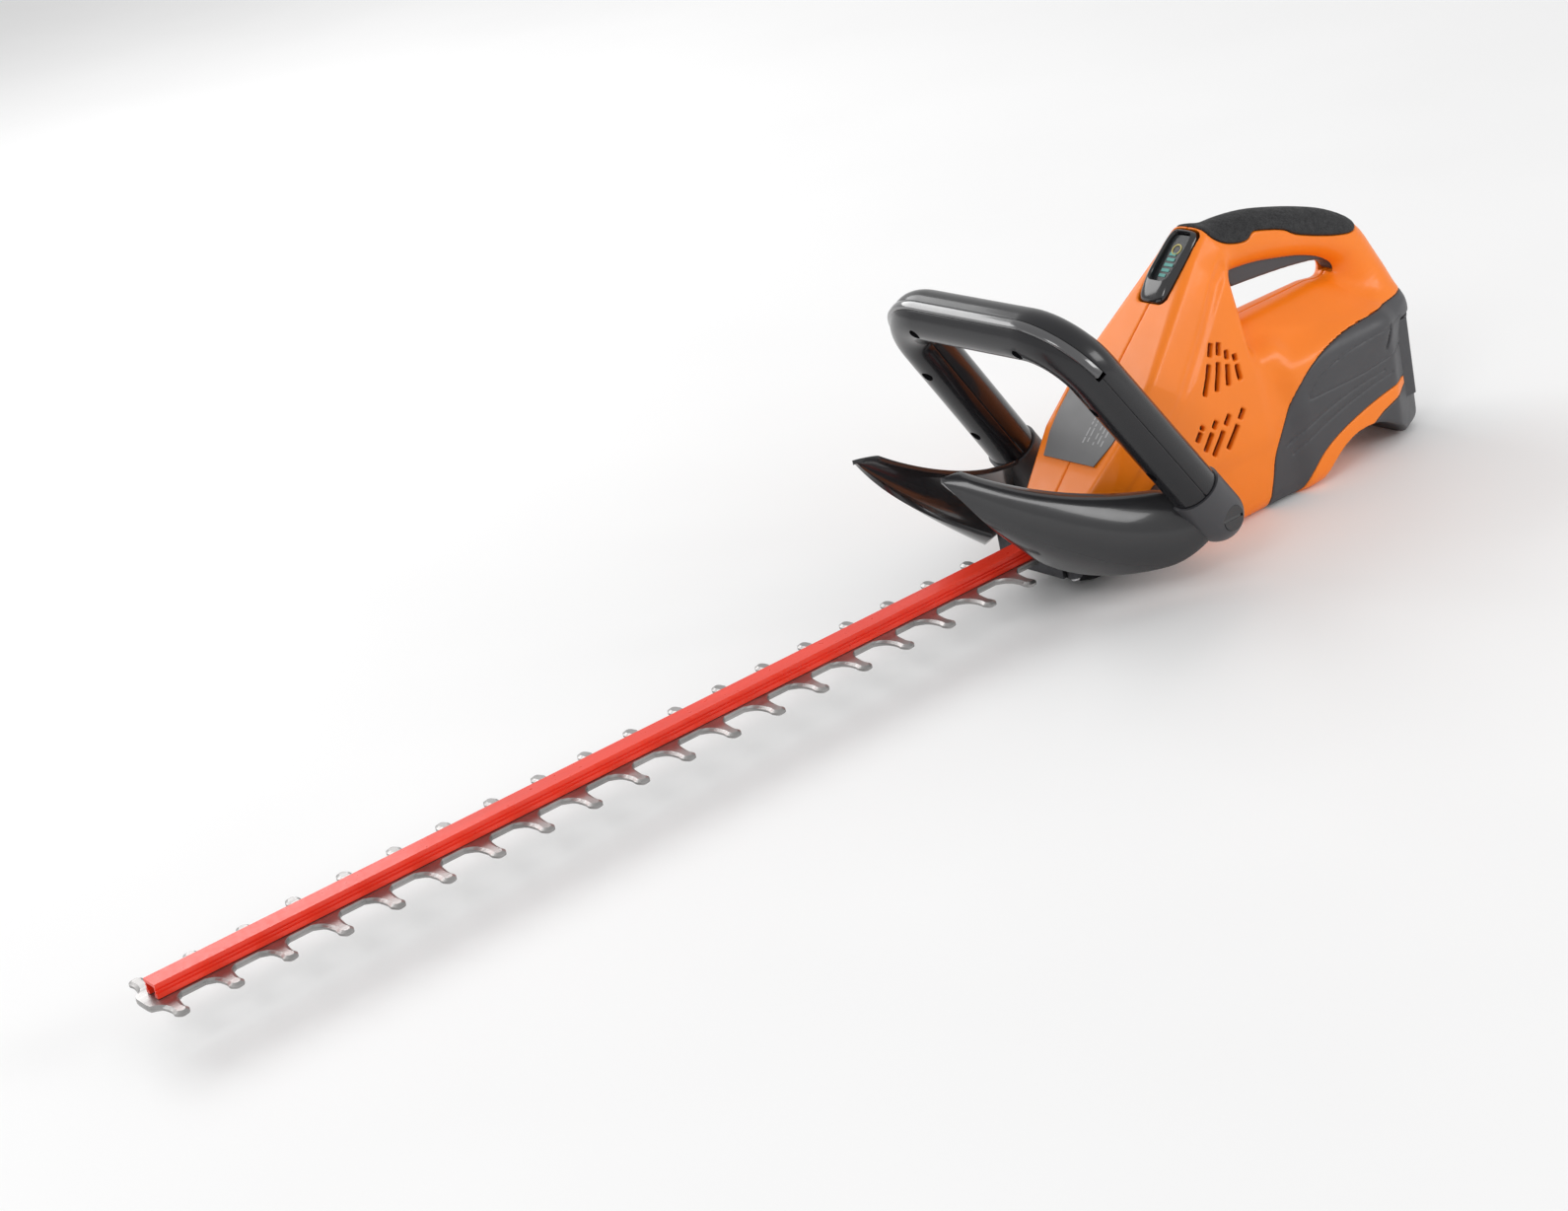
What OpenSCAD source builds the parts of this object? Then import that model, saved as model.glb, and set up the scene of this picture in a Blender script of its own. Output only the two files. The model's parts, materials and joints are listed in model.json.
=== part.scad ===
// Cordless hedge trimmer: two sliding blades under a rail, a hoop front handle, a rear handle
// with a lever trigger, and a battery that slides in from behind.
// Frame: +X along the blades, +Y to the tool's left, +Z up; origin under the drive gear's axis,
// on the plane that the tool rests on.

/* [Blades and rail] */
// Distance from one tooth to the next
tooth_pitch = 36; // [35:0.5:36.5]
// Number of teeth along each side
tooth_count = 19; // [15:1:19]
// From the mid-plane to the tip of a tooth
tooth_reach = 37; // [34:0.5:38]
// Half the width of a blade between its teeth
web_half = 9.2; // [8.5:0.1:10]
// Thickness of one blade
blade_t = 2; // [1.6:0.1:2]
// How far each blade slides
blade_stroke = 18; // [16:0.5:18]
// X of the first tooth's tip
first_tooth_x = 725; // [700:1:725]
// Width of the rail
rail_w = 14.2; // [13:0.1:14.6]
// Height of the rail
rail_h = 9.5; // [8:0.1:9.6]

/* [Drive] */
// Teeth of the drive gear
gear_teeth = 50; // [50:1:50]
// Teeth of the motor's pinion
pinion_teeth = 10; // [10:1:10]
// Gear module
gear_module = 1; // [1:1:1]
// Radius of each eccentric disc
eccentric_r = 7; // [6.5:0.1:7]
// Radius of the drive gear's shaft
gear_shaft_r = 4; // [3.8:0.1:4]
// Radius of the motor's shaft
motor_shaft_r = 2.5; // [2:0.1:2.5]
// Radial running clearance of a shaft in its bearing
running = 0.05; // [0.02:0.01:0.08]
// Radius of the motor can
motor_r = 20; // [18:0.5:20]

/* [Housing] */
// Wall of the housing where nothing covers it
wall = 4.4; // [4:0.1:4.6]
// Thickness of the skins let into the housing: grip and side panels
skin = 2.2; // [1.8:0.1:2.2]
// Gap at each part line
part_gap = 0.1; // [0.05:0.05:0.2]

/* [Front handle] */
// Y of each foot of the hoop
foot_y = 93; // [90:1:94]
// Y of each upper corner of the hoop's centre line
corner_y = 84; // [82:1:86]
// Length of the hoop along its lean, foot centre to top bar centre
hoop_rise = 183; // [175:1:186]
// Forward lean of the hoop
hoop_lean = 31.5; // [28:0.5:33]
// Radius of the hoop's tube
hoop_r = 17.3; // [16:0.1:17.5]
// Radius of the tube's centre line round each corner
hoop_bend = 36; // [34:1:40]
// Travel of the front switch bar
switch_travel = 3; // [2:0.5:3]

/* [Rear handle] */
// Half the width of the trigger
trigger_half = 6; // [5:0.5:6]
// Degrees the trigger turns when it is pulled
trigger_angle = 6; // [4:0.5:6]

/* [Battery] */
// Length of the battery pack's inner block
battery_l = 104; // [100:1:106]
// Half the width of the battery pack's inner block
battery_half = 38; // [36:0.5:38.5]
// Radius of one cell
cell_r = 9.1; // [9:0.1:9.2]
// Length of one cell
cell_l = 65; // [64:0.5:66]

/* [Hidden] */

ROUND = 64;             // sides of an exact round part
SOFT = 16;              // sides of a ball inside a hull
OVER = 1;               // how far a cutter passes a face

// Heights of the blade stack, from the rest plane up
case_floor_z = 26.5;
lower_blade_z = 28.3;
blade_slip = 0.1;
upper_blade_z = lower_blade_z + blade_t + blade_slip;
rail_z = upper_blade_z + blade_t + 0.4;
case_split_z = 34;
gear_z = 35;
gear_t = 6;
case_roof_z = 43;
case_top_z = 47;
cavity_x = 43;
cavity_y = 27;
case_wall = 3;
rail_start_x = 31;
rail_end_x = first_tooth_x + 3.5;
RAIL_GROOVE_DEEP = 1.1;  // two grooves run along each side of the rail
RAIL_GROOVE_W = 1.7;
blade_end_x = first_tooth_x + 11;

eccentric_offset = blade_stroke / 2;
sweep_r = eccentric_r + eccentric_offset;
window_gap = 0.4;
yoke_wall = 4;
centre_distance = gear_module * (gear_teeth + pinion_teeth) / 2;
motor_x = -centre_distance;

nf = [sin(40.2), cos(40.2)];   // the front face's outward normal in X and Z

orange = [0.98, 0.55, 0.09];
dark = [0.25, 0.25, 0.27];
black = [0.06, 0.06, 0.07];
steel = [0.72, 0.73, 0.75];
red = [0.80, 0.12, 0.09];
alloy = [0.66, 0.67, 0.69];

module both_sides() {
    children();
    mirror([0, 1, 0]) children();
}

module ball(p, r) translate(p) sphere(r = r, $fn = SOFT);

// A rod along Y
module rod_y(x, z, y0, y1, r) {
    translate([x, y0, z]) rotate([-90, 0, 0]) cylinder(r = r, h = y1 - y0, $fn = ROUND);
}

module rod_z(x, y, z0, z1, r) translate([x, y, z0]) cylinder(r = r, h = z1 - z0, $fn = ROUND);

module block(lo, hi) translate(lo) cube(hi - lo);

// An outline in the XZ plane, given thickness from y0 to y1
module side_cut(points, y0, y1) {
    translate([0, y1, 0]) rotate([90, 0, 0]) linear_extrude(y1 - y0) polygon(points);
}

// ---------- housing ----------

// The front face's edge: X, Z and half width from its foot to its top
FACE = [[20, 66.7, 32], [-17, 98, 40.5], [-51, 127, 39.5], [-95, 164.4, 27], [-138, 201, 16]];
EDGE_R = 4;

module pylon(inset) {
    hull() both_sides() {
        for (p = FACE) {
            ball([p[0] - nf[0] * EDGE_R, p[2] - EDGE_R, p[1] - nf[1] * EDGE_R], EDGE_R - inset * 0.85);
            ball([p[0] - 18, p[2] - 3, p[1] - 12], 7 - inset);
        }
        ball([13, 25, 55], 6 - inset);
        ball([-52, 36, 55], 7 - inset);
        ball([-146, 34, 55], 10 - inset);
        ball([-146, 32, 112], 10 - inset);
        ball([-146, 18, 150], 10 - inset);
        ball([-148, 10, 186], 8 - inset);
    }
}

module motor_bay(inset) {
    hull() both_sides() {
        for (z = [11, 60]) {
            ball([-60, 34, z], 11 - inset);
            ball([-196, 35, z], 11 - inset);
        }
        ball([-66, 32, 92], 10 - inset);
        ball([-190, 30, 104], 10 - inset);
    }
}

module battery_bay(inset) {
    hull() both_sides() {
        for (z = [12, 90]) {
            ball([-190, 35, z], 12 - inset);
            ball([-270, 35, z], 12 - inset);
            ball([-299, 18, z], 13 - inset);
        }
        ball([-170, 8, 112], 18 - inset);
        ball([-296, 8, 106], 18 - inset);
    }
}

// The rear handle's centre line: X, Z and radius
HANDLE = [[-150, 183, 19], [-190, 180.5, 19], [-220, 174, 17.5], [-248, 165, 16.3], [-276, 151, 16.5]];
NECK = [[-279, 146, 17], [-283, 108, 20]];

module handle(inset) {
    for (i = [0 : len(HANDLE) - 2]) hull() {
        ball([HANDLE[i][0], 0, HANDLE[i][1]], HANDLE[i][2] - inset);
        ball([HANDLE[i + 1][0], 0, HANDLE[i + 1][1]], HANDLE[i + 1][2] - inset);
    }
}

module neck(inset) {
    hull() {
        for (p = NECK) {
            ball([p[0], 0, p[1]], p[2] - inset);
            ball([p[0] - 9, 0, p[1] - 4], p[2] - inset);
        }
        ball([HANDLE[4][0], 0, HANDLE[4][1]], HANDLE[4][2] - inset);
    }
}

module body_shape(inset) {
    pylon(inset);
    motor_bay(inset);
    battery_bay(inset);
    handle(inset);
    neck(inset);
}

// Where the grip, the side panels and the battery take over from the orange shells
GRIP = [[-140, 215], [-143, 198], [-160, 187], [-176, 183], [-184, 187.5], [-212, 180], [-221, 172.5],
        [-262, 158.5], [-280, 155], [-292, 158], [-305, 185], [-240, 215]];
PANEL = [[-330, 103], [-247, 102.5], [-217, 98.5], [-195, 93], [-182, 84], [-170, 69], [-157, 48],
         [-149, 34], [-147, 22], [-136, -2], [-172, -2], [-182, 16], [-205, 31], [-246, 42], [-330, 52]];
TAIL = [[-206, -5], [-214, 6], [-234, 20], [-256, 31], [-284, 39], [-335, 47], [-335, -5]];

PANEL_START_Y = 4;      // the side panels leave a strip along the tool's mid-plane

module grip_zone(grow = 0) {
    translate([0, 30, 0]) rotate([90, 0, 0]) linear_extrude(60) offset(delta = grow) polygon(GRIP);
}

module panel_zone(grow = 0) {
    for (y = [30, -62])
        translate([0, y + 32, 0]) rotate([90, 0, 0]) linear_extrude(32)
            offset(delta = grow) polygon(PANEL);
}

// The arch under the rear of the tool, between the housing's floor and the battery's heel
ARCH = [[-190, -5], [-193, 4], [-206, 15], [-222, 23.5], [-238, 26], [-254, 23.5], [-272, 14.5],
        [-286, 5], [-292, -5]];

module arch_space() side_cut(ARCH, -60, 60);

module tail_zone(grow = 0) {
    translate([0, 60, 0]) rotate([90, 0, 0]) linear_extrude(120) offset(delta = grow) polygon(TAIL);
}

// Bottom and top of the battery's inner block
BLOCK_Z = [28.5, 87];

// The space for the battery's block, open to the rear
module battery_space(grow) {
    half = battery_half + grow;
    block([-340, -half, BLOCK_Z[0] - grow], [-300 + battery_l + 2 + grow, half, BLOCK_Z[1] + grow]);
}

// Air slots: top and foot of each slanted column
SLOTS = [[-113, 133, -94, 102], [-120, 131, -106, 101], [-125, 124, -118, 101], [-131, 119, -130, 101],
         [-87, 83, -79, 74], [-100, 82, -85, 65], [-113, 82, -92, 59], [-127, 81, -106, 59]];
SLOT_W = 3.2;

module air_slots() {
    for (s = SLOTS) {
        length = norm([s[0] - s[2], s[1] - s[3]]);
        lean = atan2(s[0] - s[2], s[1] - s[3]);
        for (part = [[0, 0.62], [0.72, 1]])
            translate([s[2], 0, s[3]]) rotate([0, lean, 0])
                block([-SLOT_W / 2, -70, length * part[0]], [SLOT_W / 2, 70, length * part[1]]);
    }
}

// Screw bosses: X and Z
BOSSES = [[-62, 14], [-140, 14], [-182, 97], [-100, 108], [-150, 150], [-292, 128], [-155, 192]];
BOSS_R = 4.2;
SCREW_R = 1.5;

// Everything that the two shells leave out
module housing_space() {
    block([-49, -45, 15], [60, 45, case_top_z + 0.4]);
    battery_space(0.8);
    tail_zone(0.3);
    arch_space();
    air_slots();
    display_space(0.3);
    trigger_space();
    label_space();
    rod_z(motor_x, 0, 40, 89.5, motor_r + 1);
    rod_y(PIVOT[0], PIVOT[1], -PIN_HALF - 0.1, PIN_HALF + 0.1, PIVOT_R + 0.02);
    both_sides() rod_y(FOOT_X, FOOT_Z, ARM_END_Y - 0.5, 60, ARM_IN_R + 0.3);
}

module housing() {
    difference() {
        union() {
            difference() {
                body_shape(0);
                grip_zone(part_gap);
                panel_zone(part_gap);
            }
            body_shape(skin + part_gap);
        }
        difference() {
            body_shape(wall);
            for (b = BOSSES) rod_y(b[0], b[1], -50, 50, BOSS_R);
            rod_y(PIVOT[0], PIVOT[1], -50, 50, BOSS_R);
        }
        housing_space();
        for (b = BOSSES) {
            rod_y(b[0], b[1], -60, 9, SCREW_R + 0.1);
            rod_y(b[0], b[1], -60, -screw_seat(b), 3.2);
        }
    }
}

// Depth of each screw's head below the mid-plane, so that it sinks into the right shell
function screw_seat(b) = b[1] > 140 ? 8 : b[1] > 120 ? 9 : 30;

module housing_left() color(orange) intersection() {
    housing();
    block([-400, part_gap / 2, -10], [100, 80, 240]);
}

module housing_right() color(orange) intersection() {
    housing();
    block([-400, -80, -10], [100, -part_gap / 2, 240]);
}

module housing_screws() color(steel) {
    for (b = BOSSES) {
        rod_y(b[0], b[1], -screw_seat(b), 8.5, SCREW_R);
        rod_y(b[0], b[1], -screw_seat(b) - 2.2, -screw_seat(b), 2.8);
    }
}

module grip_overmold() color(black) intersection() {
    difference() {
        union() {
            handle(0);
            neck(0);
            pylon(0);
        }
        union() {
            handle(skin);
            neck(skin);
            pylon(skin);
        }
    }
    grip_zone();
}

module side_panels() {
    difference() {
        intersection() {
            union() {
                battery_bay(0);
                motor_bay(0);
                pylon(0);
            }
            panel_zone();
        }
        battery_bay(skin);
        motor_bay(skin);
        pylon(skin);
        tail_zone(0.3);
        battery_space(0.8);
        block([-400, -PANEL_START_Y, -10], [0, PANEL_START_Y, 120]);
    }
}

module side_panel_left() color(dark) intersection() {
    side_panels();
    block([-400, PANEL_START_Y - OVER, -10], [0, 80, 120]);
}

module side_panel_right() color(dark) intersection() {
    side_panels();
    block([-400, -80, -10], [0, OVER - PANEL_START_Y, 120]);
}

// Places a shape in the plane of the front face, at distance s up the face from its foot
module on_face(s) {
    translate([20 - s * nf[1], 0, 66.7 + s * nf[0]]) rotate([0, 40.2, 0]) rotate([0, 0, 90]) children();
}

// The label's outline: half across the face, and distance up it
LABEL = [[-25, 26], [25, 26], [31, 44], [33, 60], [33, 86], [-33, 86], [-33, 60], [-31, 44]];

module label_space() {
    on_face(0) translate([0, 0, -0.6]) linear_extrude(5) offset(delta = 0.2) polygon(LABEL);
}

module label_plate() color(alloy) {
    on_face(0) translate([0, 0, -0.6]) linear_extrude(0.8) polygon(LABEL);
}

// ---------- display ----------

DISPLAY_S = 180;        // distance of its middle up the front face
DISPLAY_L = 58;
DISPLAY_W = 27;
DISPLAY_DEEP = 9;

module display_outline(grow) {
    offset(r = 4) square([DISPLAY_W + 2 * grow - 8, DISPLAY_L + 2 * grow - 8], center = true);
}

module display_space(grow) {
    on_face(DISPLAY_S) translate([0, 0, -DISPLAY_DEEP - grow])
        linear_extrude(DISPLAY_DEEP + 20) display_outline(grow);
}

module display_bezel() color(black) {
    on_face(DISPLAY_S) difference() {
        translate([0, 0, -DISPLAY_DEEP]) linear_extrude(DISPLAY_DEEP + 2.5) display_outline(0);
        translate([0, 2, -DISPLAY_DEEP + 1.5]) linear_extrude(DISPLAY_DEEP + 5)
            square([DISPLAY_W - 9, DISPLAY_L - 13], center = true);
    }
}

module display_board() color([0.1, 0.3, 0.2]) {
    on_face(DISPLAY_S) translate([0, 2, -DISPLAY_DEEP + 1.6]) linear_extrude(3)
        square([DISPLAY_W - 10, DISPLAY_L - 14], center = true);
}

module display_window() color([0.3, 0.35, 0.35]) {
    on_face(DISPLAY_S) translate([0, 2, -0.5]) linear_extrude(1.8)
        square([DISPLAY_W - 9.2, DISPLAY_L - 13.2], center = true);
}

// ---------- guard ----------

// Cubic curve through space
function bezier(p, t) = pow(1 - t, 3) * p[0] + 3 * t * pow(1 - t, 2) * p[1]
    + 3 * t * t * (1 - t) * p[2] + pow(t, 3) * p[3];

// The wing's top edge, waist and lower edge, from its front tip to the foot of the hoop
WING_TOP = [[144, 46, 131], [95, 62, 98], [25, 58, 62], [-30, 90, 60]];
WING_WAIST = [[107, 62, 78], [85, 72, 58], [20, 82, 40], [-30, 101, 42]];
WING_FOOT = [[63, 18, 48], [62, 44, 30], [15, 75, 15], [-33, 95, 25]];
WING_T = 3;
WING_N = 14;
WING_M = 8;

// A point of the wing's sheet: s runs from front to back, t from top to bottom
function wing_point(s, t) = pow(1 - t, 2) * bezier(WING_TOP, s)
    + 2 * t * (1 - t) * bezier(WING_WAIST, s) + t * t * bezier(WING_FOOT, s);
function unit(v) = v / norm(v);
function wing_normal(s, t) = unit(cross(
    wing_point(s + 0.01, t) - wing_point(s - 0.01, t),
    wing_point(s, t + 0.01) - wing_point(s, t - 0.01)));

module wing() {
    n = WING_N;
    m = WING_M;
    count = (n + 1) * (m + 1);
    outer = [for (i = [0 : n], j = [0 : m]) wing_point(i / n, j / m)];
    inner = [for (i = [0 : n], j = [0 : m])
        wing_point(i / n, j / m) + WING_T * wing_normal(i / n, j / m)];
    function at(i, j) = i * (m + 1) + j;
    top_bottom = [for (i = [0 : n - 1], j = [0 : m - 1])
        each [[at(i, j), at(i + 1, j), at(i, j + 1)], [at(i + 1, j), at(i + 1, j + 1), at(i, j + 1)]]];
    rims = concat(
        [for (i = [0 : n - 1]) each [
            [at(i, 0), at(i, 0) + count, at(i + 1, 0)],
            [at(i + 1, 0), at(i, 0) + count, at(i + 1, 0) + count],
            [at(i, m), at(i + 1, m), at(i, m) + count],
            [at(i + 1, m), at(i + 1, m) + count, at(i, m) + count]]],
        [for (j = [0 : m - 1]) each [
            [at(0, j), at(0, j + 1), at(0, j) + count],
            [at(0, j + 1), at(0, j + 1) + count, at(0, j) + count],
            [at(n, j), at(n, j) + count, at(n, j + 1)],
            [at(n, j + 1), at(n, j) + count, at(n, j + 1) + count]]]);
    polyhedron(
        points = concat(outer, inner),
        faces = concat(top_bottom, [for (f = top_bottom) [f[0], f[2], f[1]] + [count, count, count]], rims));
}

GUARD_TAB_X = 24;
GUARD_TAB_Z = 24;

module guard() color(black) {
    difference() {
        both_sides() {
            wing();
            block([GUARD_TAB_X - 6, 42, GUARD_TAB_Z], [GUARD_TAB_X + 6, 64, GUARD_TAB_Z + 3]);
        }
        both_sides() {
            foot_shape(0.3);
            rod_z(GUARD_TAB_X, 47, 0, 60, 2.1);
            block([-60, 0, 0], [60, 41.5, 60]);
        }
        block([-60, -18, 20], [200, 18, 60]);
    }
}

module guard_screws() color(steel) {
    both_sides() {
        rod_z(GUARD_TAB_X, 47, GUARD_TAB_Z - 2.4, GUARD_TAB_Z, 3.6);
        rod_z(GUARD_TAB_X, 47, GUARD_TAB_Z, GUARD_TAB_Z + 7, 2);
    }
}

// ---------- front handle ----------

FOOT_X = -41;
FOOT_Z = 45.5;
FOOT_R = 19;
SOCKET_L = 28;          // from the foot's centre to the end of its socket
ARM_IN_R = 13;
ARM_END_Y = 40;           // where each arm ends, in the housing's side
splay = atan((foot_y - corner_y) / hoop_rise);

// The hoop's own frame: +X to the hoop's front, +Z up along its lean
module hoop_frame() {
    translate([FOOT_X, 0, FOOT_Z]) rotate([0, hoop_lean, 0]) children();
}

// One arm's frame, at the left foot's centre
module arm_frame() translate([0, foot_y, 0]) rotate([splay, 0, 0]) children();

module foot_shape(grow) {
    hoop_frame() arm_frame() {
        cylinder(r = FOOT_R + grow, h = SOCKET_L, $fn = ROUND);
        sphere(r = FOOT_R + grow, $fn = ROUND);
    }
    rod_y(FOOT_X, FOOT_Z, ARM_END_Y, foot_y, ARM_IN_R + grow);
}

module foot() {
    difference() {
        foot_shape(0);
        hoop_frame() arm_frame() translate([0, 0, 8]) cylinder(r = 13.5, h = 40, $fn = ROUND);
        rod_y(FOOT_X, FOOT_Z, foot_y + 12, foot_y + 40, 9);
    }
}

module foot_left() color(dark) foot();

module foot_right() color(dark) mirror([0, 1, 0]) foot();

module foot_caps() color(black) both_sides() {
    difference() {
        rod_y(FOOT_X, FOOT_Z, foot_y + 12, foot_y + FOOT_R - 1.5, 8.8);
        block([FOOT_X - 10, foot_y + FOOT_R - 3.5, FOOT_Z - 1], [FOOT_X + 10, foot_y + 30, FOOT_Z + 1]);
    }
}

PART_A = 4.5;           // the shells' part line, forward of the tube's middle
TUBE_WALL = 3;
BAR_BACK = 1.5;
BAR_FRONT = 7.7;
BAR_DEEP = 7;
CHANNEL_TURN = 84;      // how far the switch bar's channel runs round each corner
BAR_TURN = 78;

bar_half = corner_y - hoop_bend * tan((90 - splay) / 2);

BEND_STEPS = 8;

// Stations along the hoop: Y, distance up the lean, and the direction outward
function bend_station(a) = [(a > 90 ? -1 : 1) * bar_half + hoop_bend * cos(a),
    hoop_rise - hoop_bend + hoop_bend * sin(a), a];
function arm_station(side, along) = [side * (foot_y - along * sin(splay)), along * cos(splay),
    side > 0 ? splay : 180 - splay];
function bend_stations(a0, a1) = [for (k = [0 : BEND_STEPS]) bend_station(a0 + (a1 - a0) * k / BEND_STEPS)];

hoop_line = concat(
    [arm_station(1, SOCKET_L + 0.3)],
    bend_stations(splay, 90), bend_stations(90.001, 180 - splay),
    [arm_station(-1, SOCKET_L + 0.3)]);
channel_line = concat(bend_stations(90 - CHANNEL_TURN, 90), bend_stations(90.001, 90 + CHANNEL_TURN));

// Sweeps a section along stations. The section's X is the hoop's front, its Y is outward.
module sweep(section, stations) {
    m = len(section);
    n = len(stations);
    points = [for (t = stations, q = section) [q[0], t[0] + q[1] * cos(t[2]), t[1] + q[1] * sin(t[2])]];
    sides = [for (i = [0 : n - 2], j = [0 : m - 1])
        let (a = i * m + j, b = i * m + (j + 1) % m) each [[a, a + m, b], [b, a + m, b + m]]];
    ends = [[for (j = [0 : m - 1]) j], [for (j = [m - 1 : -1 : 0]) (n - 1) * m + j]];
    polyhedron(points = points, faces = concat(sides, ends));
}

// One shell's section: the part of the tube's ring on its side of the part line
function shell_section(front) =
    let (
        edge = PART_A + (front ? 1 : -1) * part_gap / 2,
        outer = acos(edge / hoop_r),
        inner = acos(edge / (hoop_r - TUBE_WALL)),
        steps = front ? 8 : 13,
        a0 = front ? -outer : outer,
        a1 = front ? outer : 360 - outer,
        b0 = front ? inner : 360 - inner,
        b1 = front ? -inner : inner,
        ri = hoop_r - TUBE_WALL)
    concat(
        [for (k = [0 : steps]) let (a = a0 + (a1 - a0) * k / steps) hoop_r * [cos(a), sin(a)]],
        [for (k = [0 : steps]) let (a = b0 + (b1 - b0) * k / steps) ri * [cos(a), sin(a)]]);

channel_section = [[BAR_BACK - 0.3, hoop_r - BAR_DEEP - 1], [BAR_FRONT + 0.3, hoop_r - BAR_DEEP - 1],
    [BAR_FRONT + 0.3, hoop_r + 4], [BAR_BACK - 0.3, hoop_r + 4]];

module hoop_shell(front) {
    difference() {
        hoop_frame() sweep(shell_section(front), hoop_line);
        hoop_frame() sweep(channel_section, channel_line);
        hoop_frame() hoop_rods(-20, SEAT_X, front ? SCREW_R + 0.15 : SCREW_R);
        hoop_frame() hoop_rods(SEAT_X, 30, WELL_R);
    }
    hoop_frame() difference() {
        if (front) hoop_rods(PART_A + part_gap / 2, hoop_r - TUBE_WALL + 1, WELL_R + WELL_WALL);
        else hoop_rods(-hoop_r + TUBE_WALL - 1, PART_A - part_gap / 2, HOOP_BOSS_R);
        hoop_rods(-20, 20, front ? SCREW_R + 0.15 : SCREW_R);
        hoop_rods(SEAT_X, 30, WELL_R);
    }
}

// Screws across the part line: Y and distance up the hoop
HOOP_SCREWS = [[52, 183], [84, 130], [89, 62]];

SEAT_X = hoop_r - TUBE_WALL - 1.6;      // where each head seats, at the bottom of its well
HOOP_BOSS_R = 3.6;
WELL_R = 4.2;
WELL_WALL = 1.4;

// Rods at the screws' places, from x0 to x1 across the tube
module hoop_rods(x0, x1, r) {
    both_sides() for (s = HOOP_SCREWS) translate([x0, s[0], s[1]]) rotate([0, 90, 0])
        cylinder(r = r, h = x1 - x0, $fn = ROUND);
}

module hoop_rear_shell() color(dark) hoop_shell(false);

module hoop_front_shell() color(dark) hoop_shell(true);

module hoop_screws() color(steel) hoop_frame() {
    hoop_rods(-hoop_r + TUBE_WALL - 1, SEAT_X, SCREW_R);
    hoop_rods(SEAT_X, SEAT_X + 1.4, 2.8);
}

// The bar stops short of its channel's ends, so that it can be pressed in
bar_line = concat(bend_stations(90 - BAR_TURN, 90), bend_stations(90.001, 90 + BAR_TURN));
bar_section = [[BAR_BACK, hoop_r - BAR_DEEP], [BAR_FRONT, hoop_r - BAR_DEEP], [BAR_FRONT, hoop_r + 0.3],
    [BAR_FRONT - 1, hoop_r + 0.9], [BAR_BACK + 1, hoop_r + 0.9], [BAR_BACK, hoop_r + 0.3]];

module switch_bar() color(dark) hoop_frame() sweep(bar_section, bar_line);

// A coil of round wire: turns along +Z
module coil(r, wire, turns, length) {
    steps = 8;
    sides = 5;
    n = turns * steps;
    points = [for (i = [0 : n], j = [0 : sides - 1])
        let (a = 360 * i / steps, b = 360 * j / sides, rr = r + wire * cos(b))
        [rr * cos(a), rr * sin(a), wire + (length - 2 * wire) * i / n + wire * sin(b)]];
    tube = [for (i = [0 : n - 1], j = [0 : sides - 1])
        let (a = i * sides + j, b = i * sides + (j + 1) % sides)
            each [[a, b, a + sides], [b, b + sides, a + sides]]];
    ends = [[for (j = [sides - 1 : -1 : 0]) j], [for (j = [0 : sides - 1]) n * sides + j]];
    polyhedron(points = points, faces = concat(tube, ends));
}

module switch_bar_springs() color(steel) hoop_frame() both_sides()
    translate([(BAR_BACK + BAR_FRONT) / 2, 34, hoop_rise - 5]) coil(2, 0.35, 4, 11.8);

module hoop_switch() color(black) hoop_frame() {
    block([-4, -12, hoop_rise - 9], [10, 12, hoop_rise + 4]);
    rod_z_local([4.6, 0, hoop_rise + 4], 1.6, 2.8);
}

module rod_z_local(p, r, h) translate(p) cylinder(r = r, h = h, $fn = ROUND);

// ---------- rear trigger ----------

PIVOT = [-262, 152];
PIVOT_R = 2;
PIN_HALF = 11.5;
// The lever's outline: along its top, round the hook behind, and back under the fingers
LEVER = [[-163, 168], [-190, 165.5], [-218, 161], [-241, 155.5], [-255, 156], [-262, 158], [-268, 153],
         [-268.5, 132], [-265, 131], [-260, 139], [-250, 143.5], [-230, 146.5], [-211, 148.6], [-177, 151.2],
         [-163.5, 151.5]];

module lever(grow) {
    side_extrude(trigger_half + grow) offset(delta = grow) polygon(LEVER);
}

module side_extrude(half) {
    translate([0, half, 0]) rotate([90, 0, 0]) linear_extrude(2 * half) children();
}

// The lever's path through the handle, from rest to fully pulled
module trigger_space() {
    hull() {
        lever(0.6);
        turned(trigger_angle + 0.5) lever(0.6);
    }
}

module turned(degrees) {
    translate([PIVOT[0], 0, PIVOT[1]]) rotate([0, -degrees, 0]) translate([-PIVOT[0], 0, -PIVOT[1]])
        children();
}

module rear_trigger() color(dark) difference() {
    side_extrude(trigger_half) polygon(LEVER);
    rod_y(PIVOT[0], PIVOT[1], -10, 10, PIVOT_R + running);
}

module trigger_pin() color(steel) rod_y(PIVOT[0], PIVOT[1], -PIN_HALF, PIN_HALF, PIVOT_R);

module trigger_spring() color(steel) translate([-196, 0, 177.2]) coil(2.5, 0.4, 3, 7);

module trigger_switch() color(black) {
    block([-186, -5, 181], [-164, 5, 193]);
    block([-178, -2, 179.2], [-172, 2, 181]);
}

// ---------- battery ----------

CELL_PITCH = 19.1;
CELL_MID_X = -250.5;
CELL_Z = [40.2, 59.4];

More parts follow.
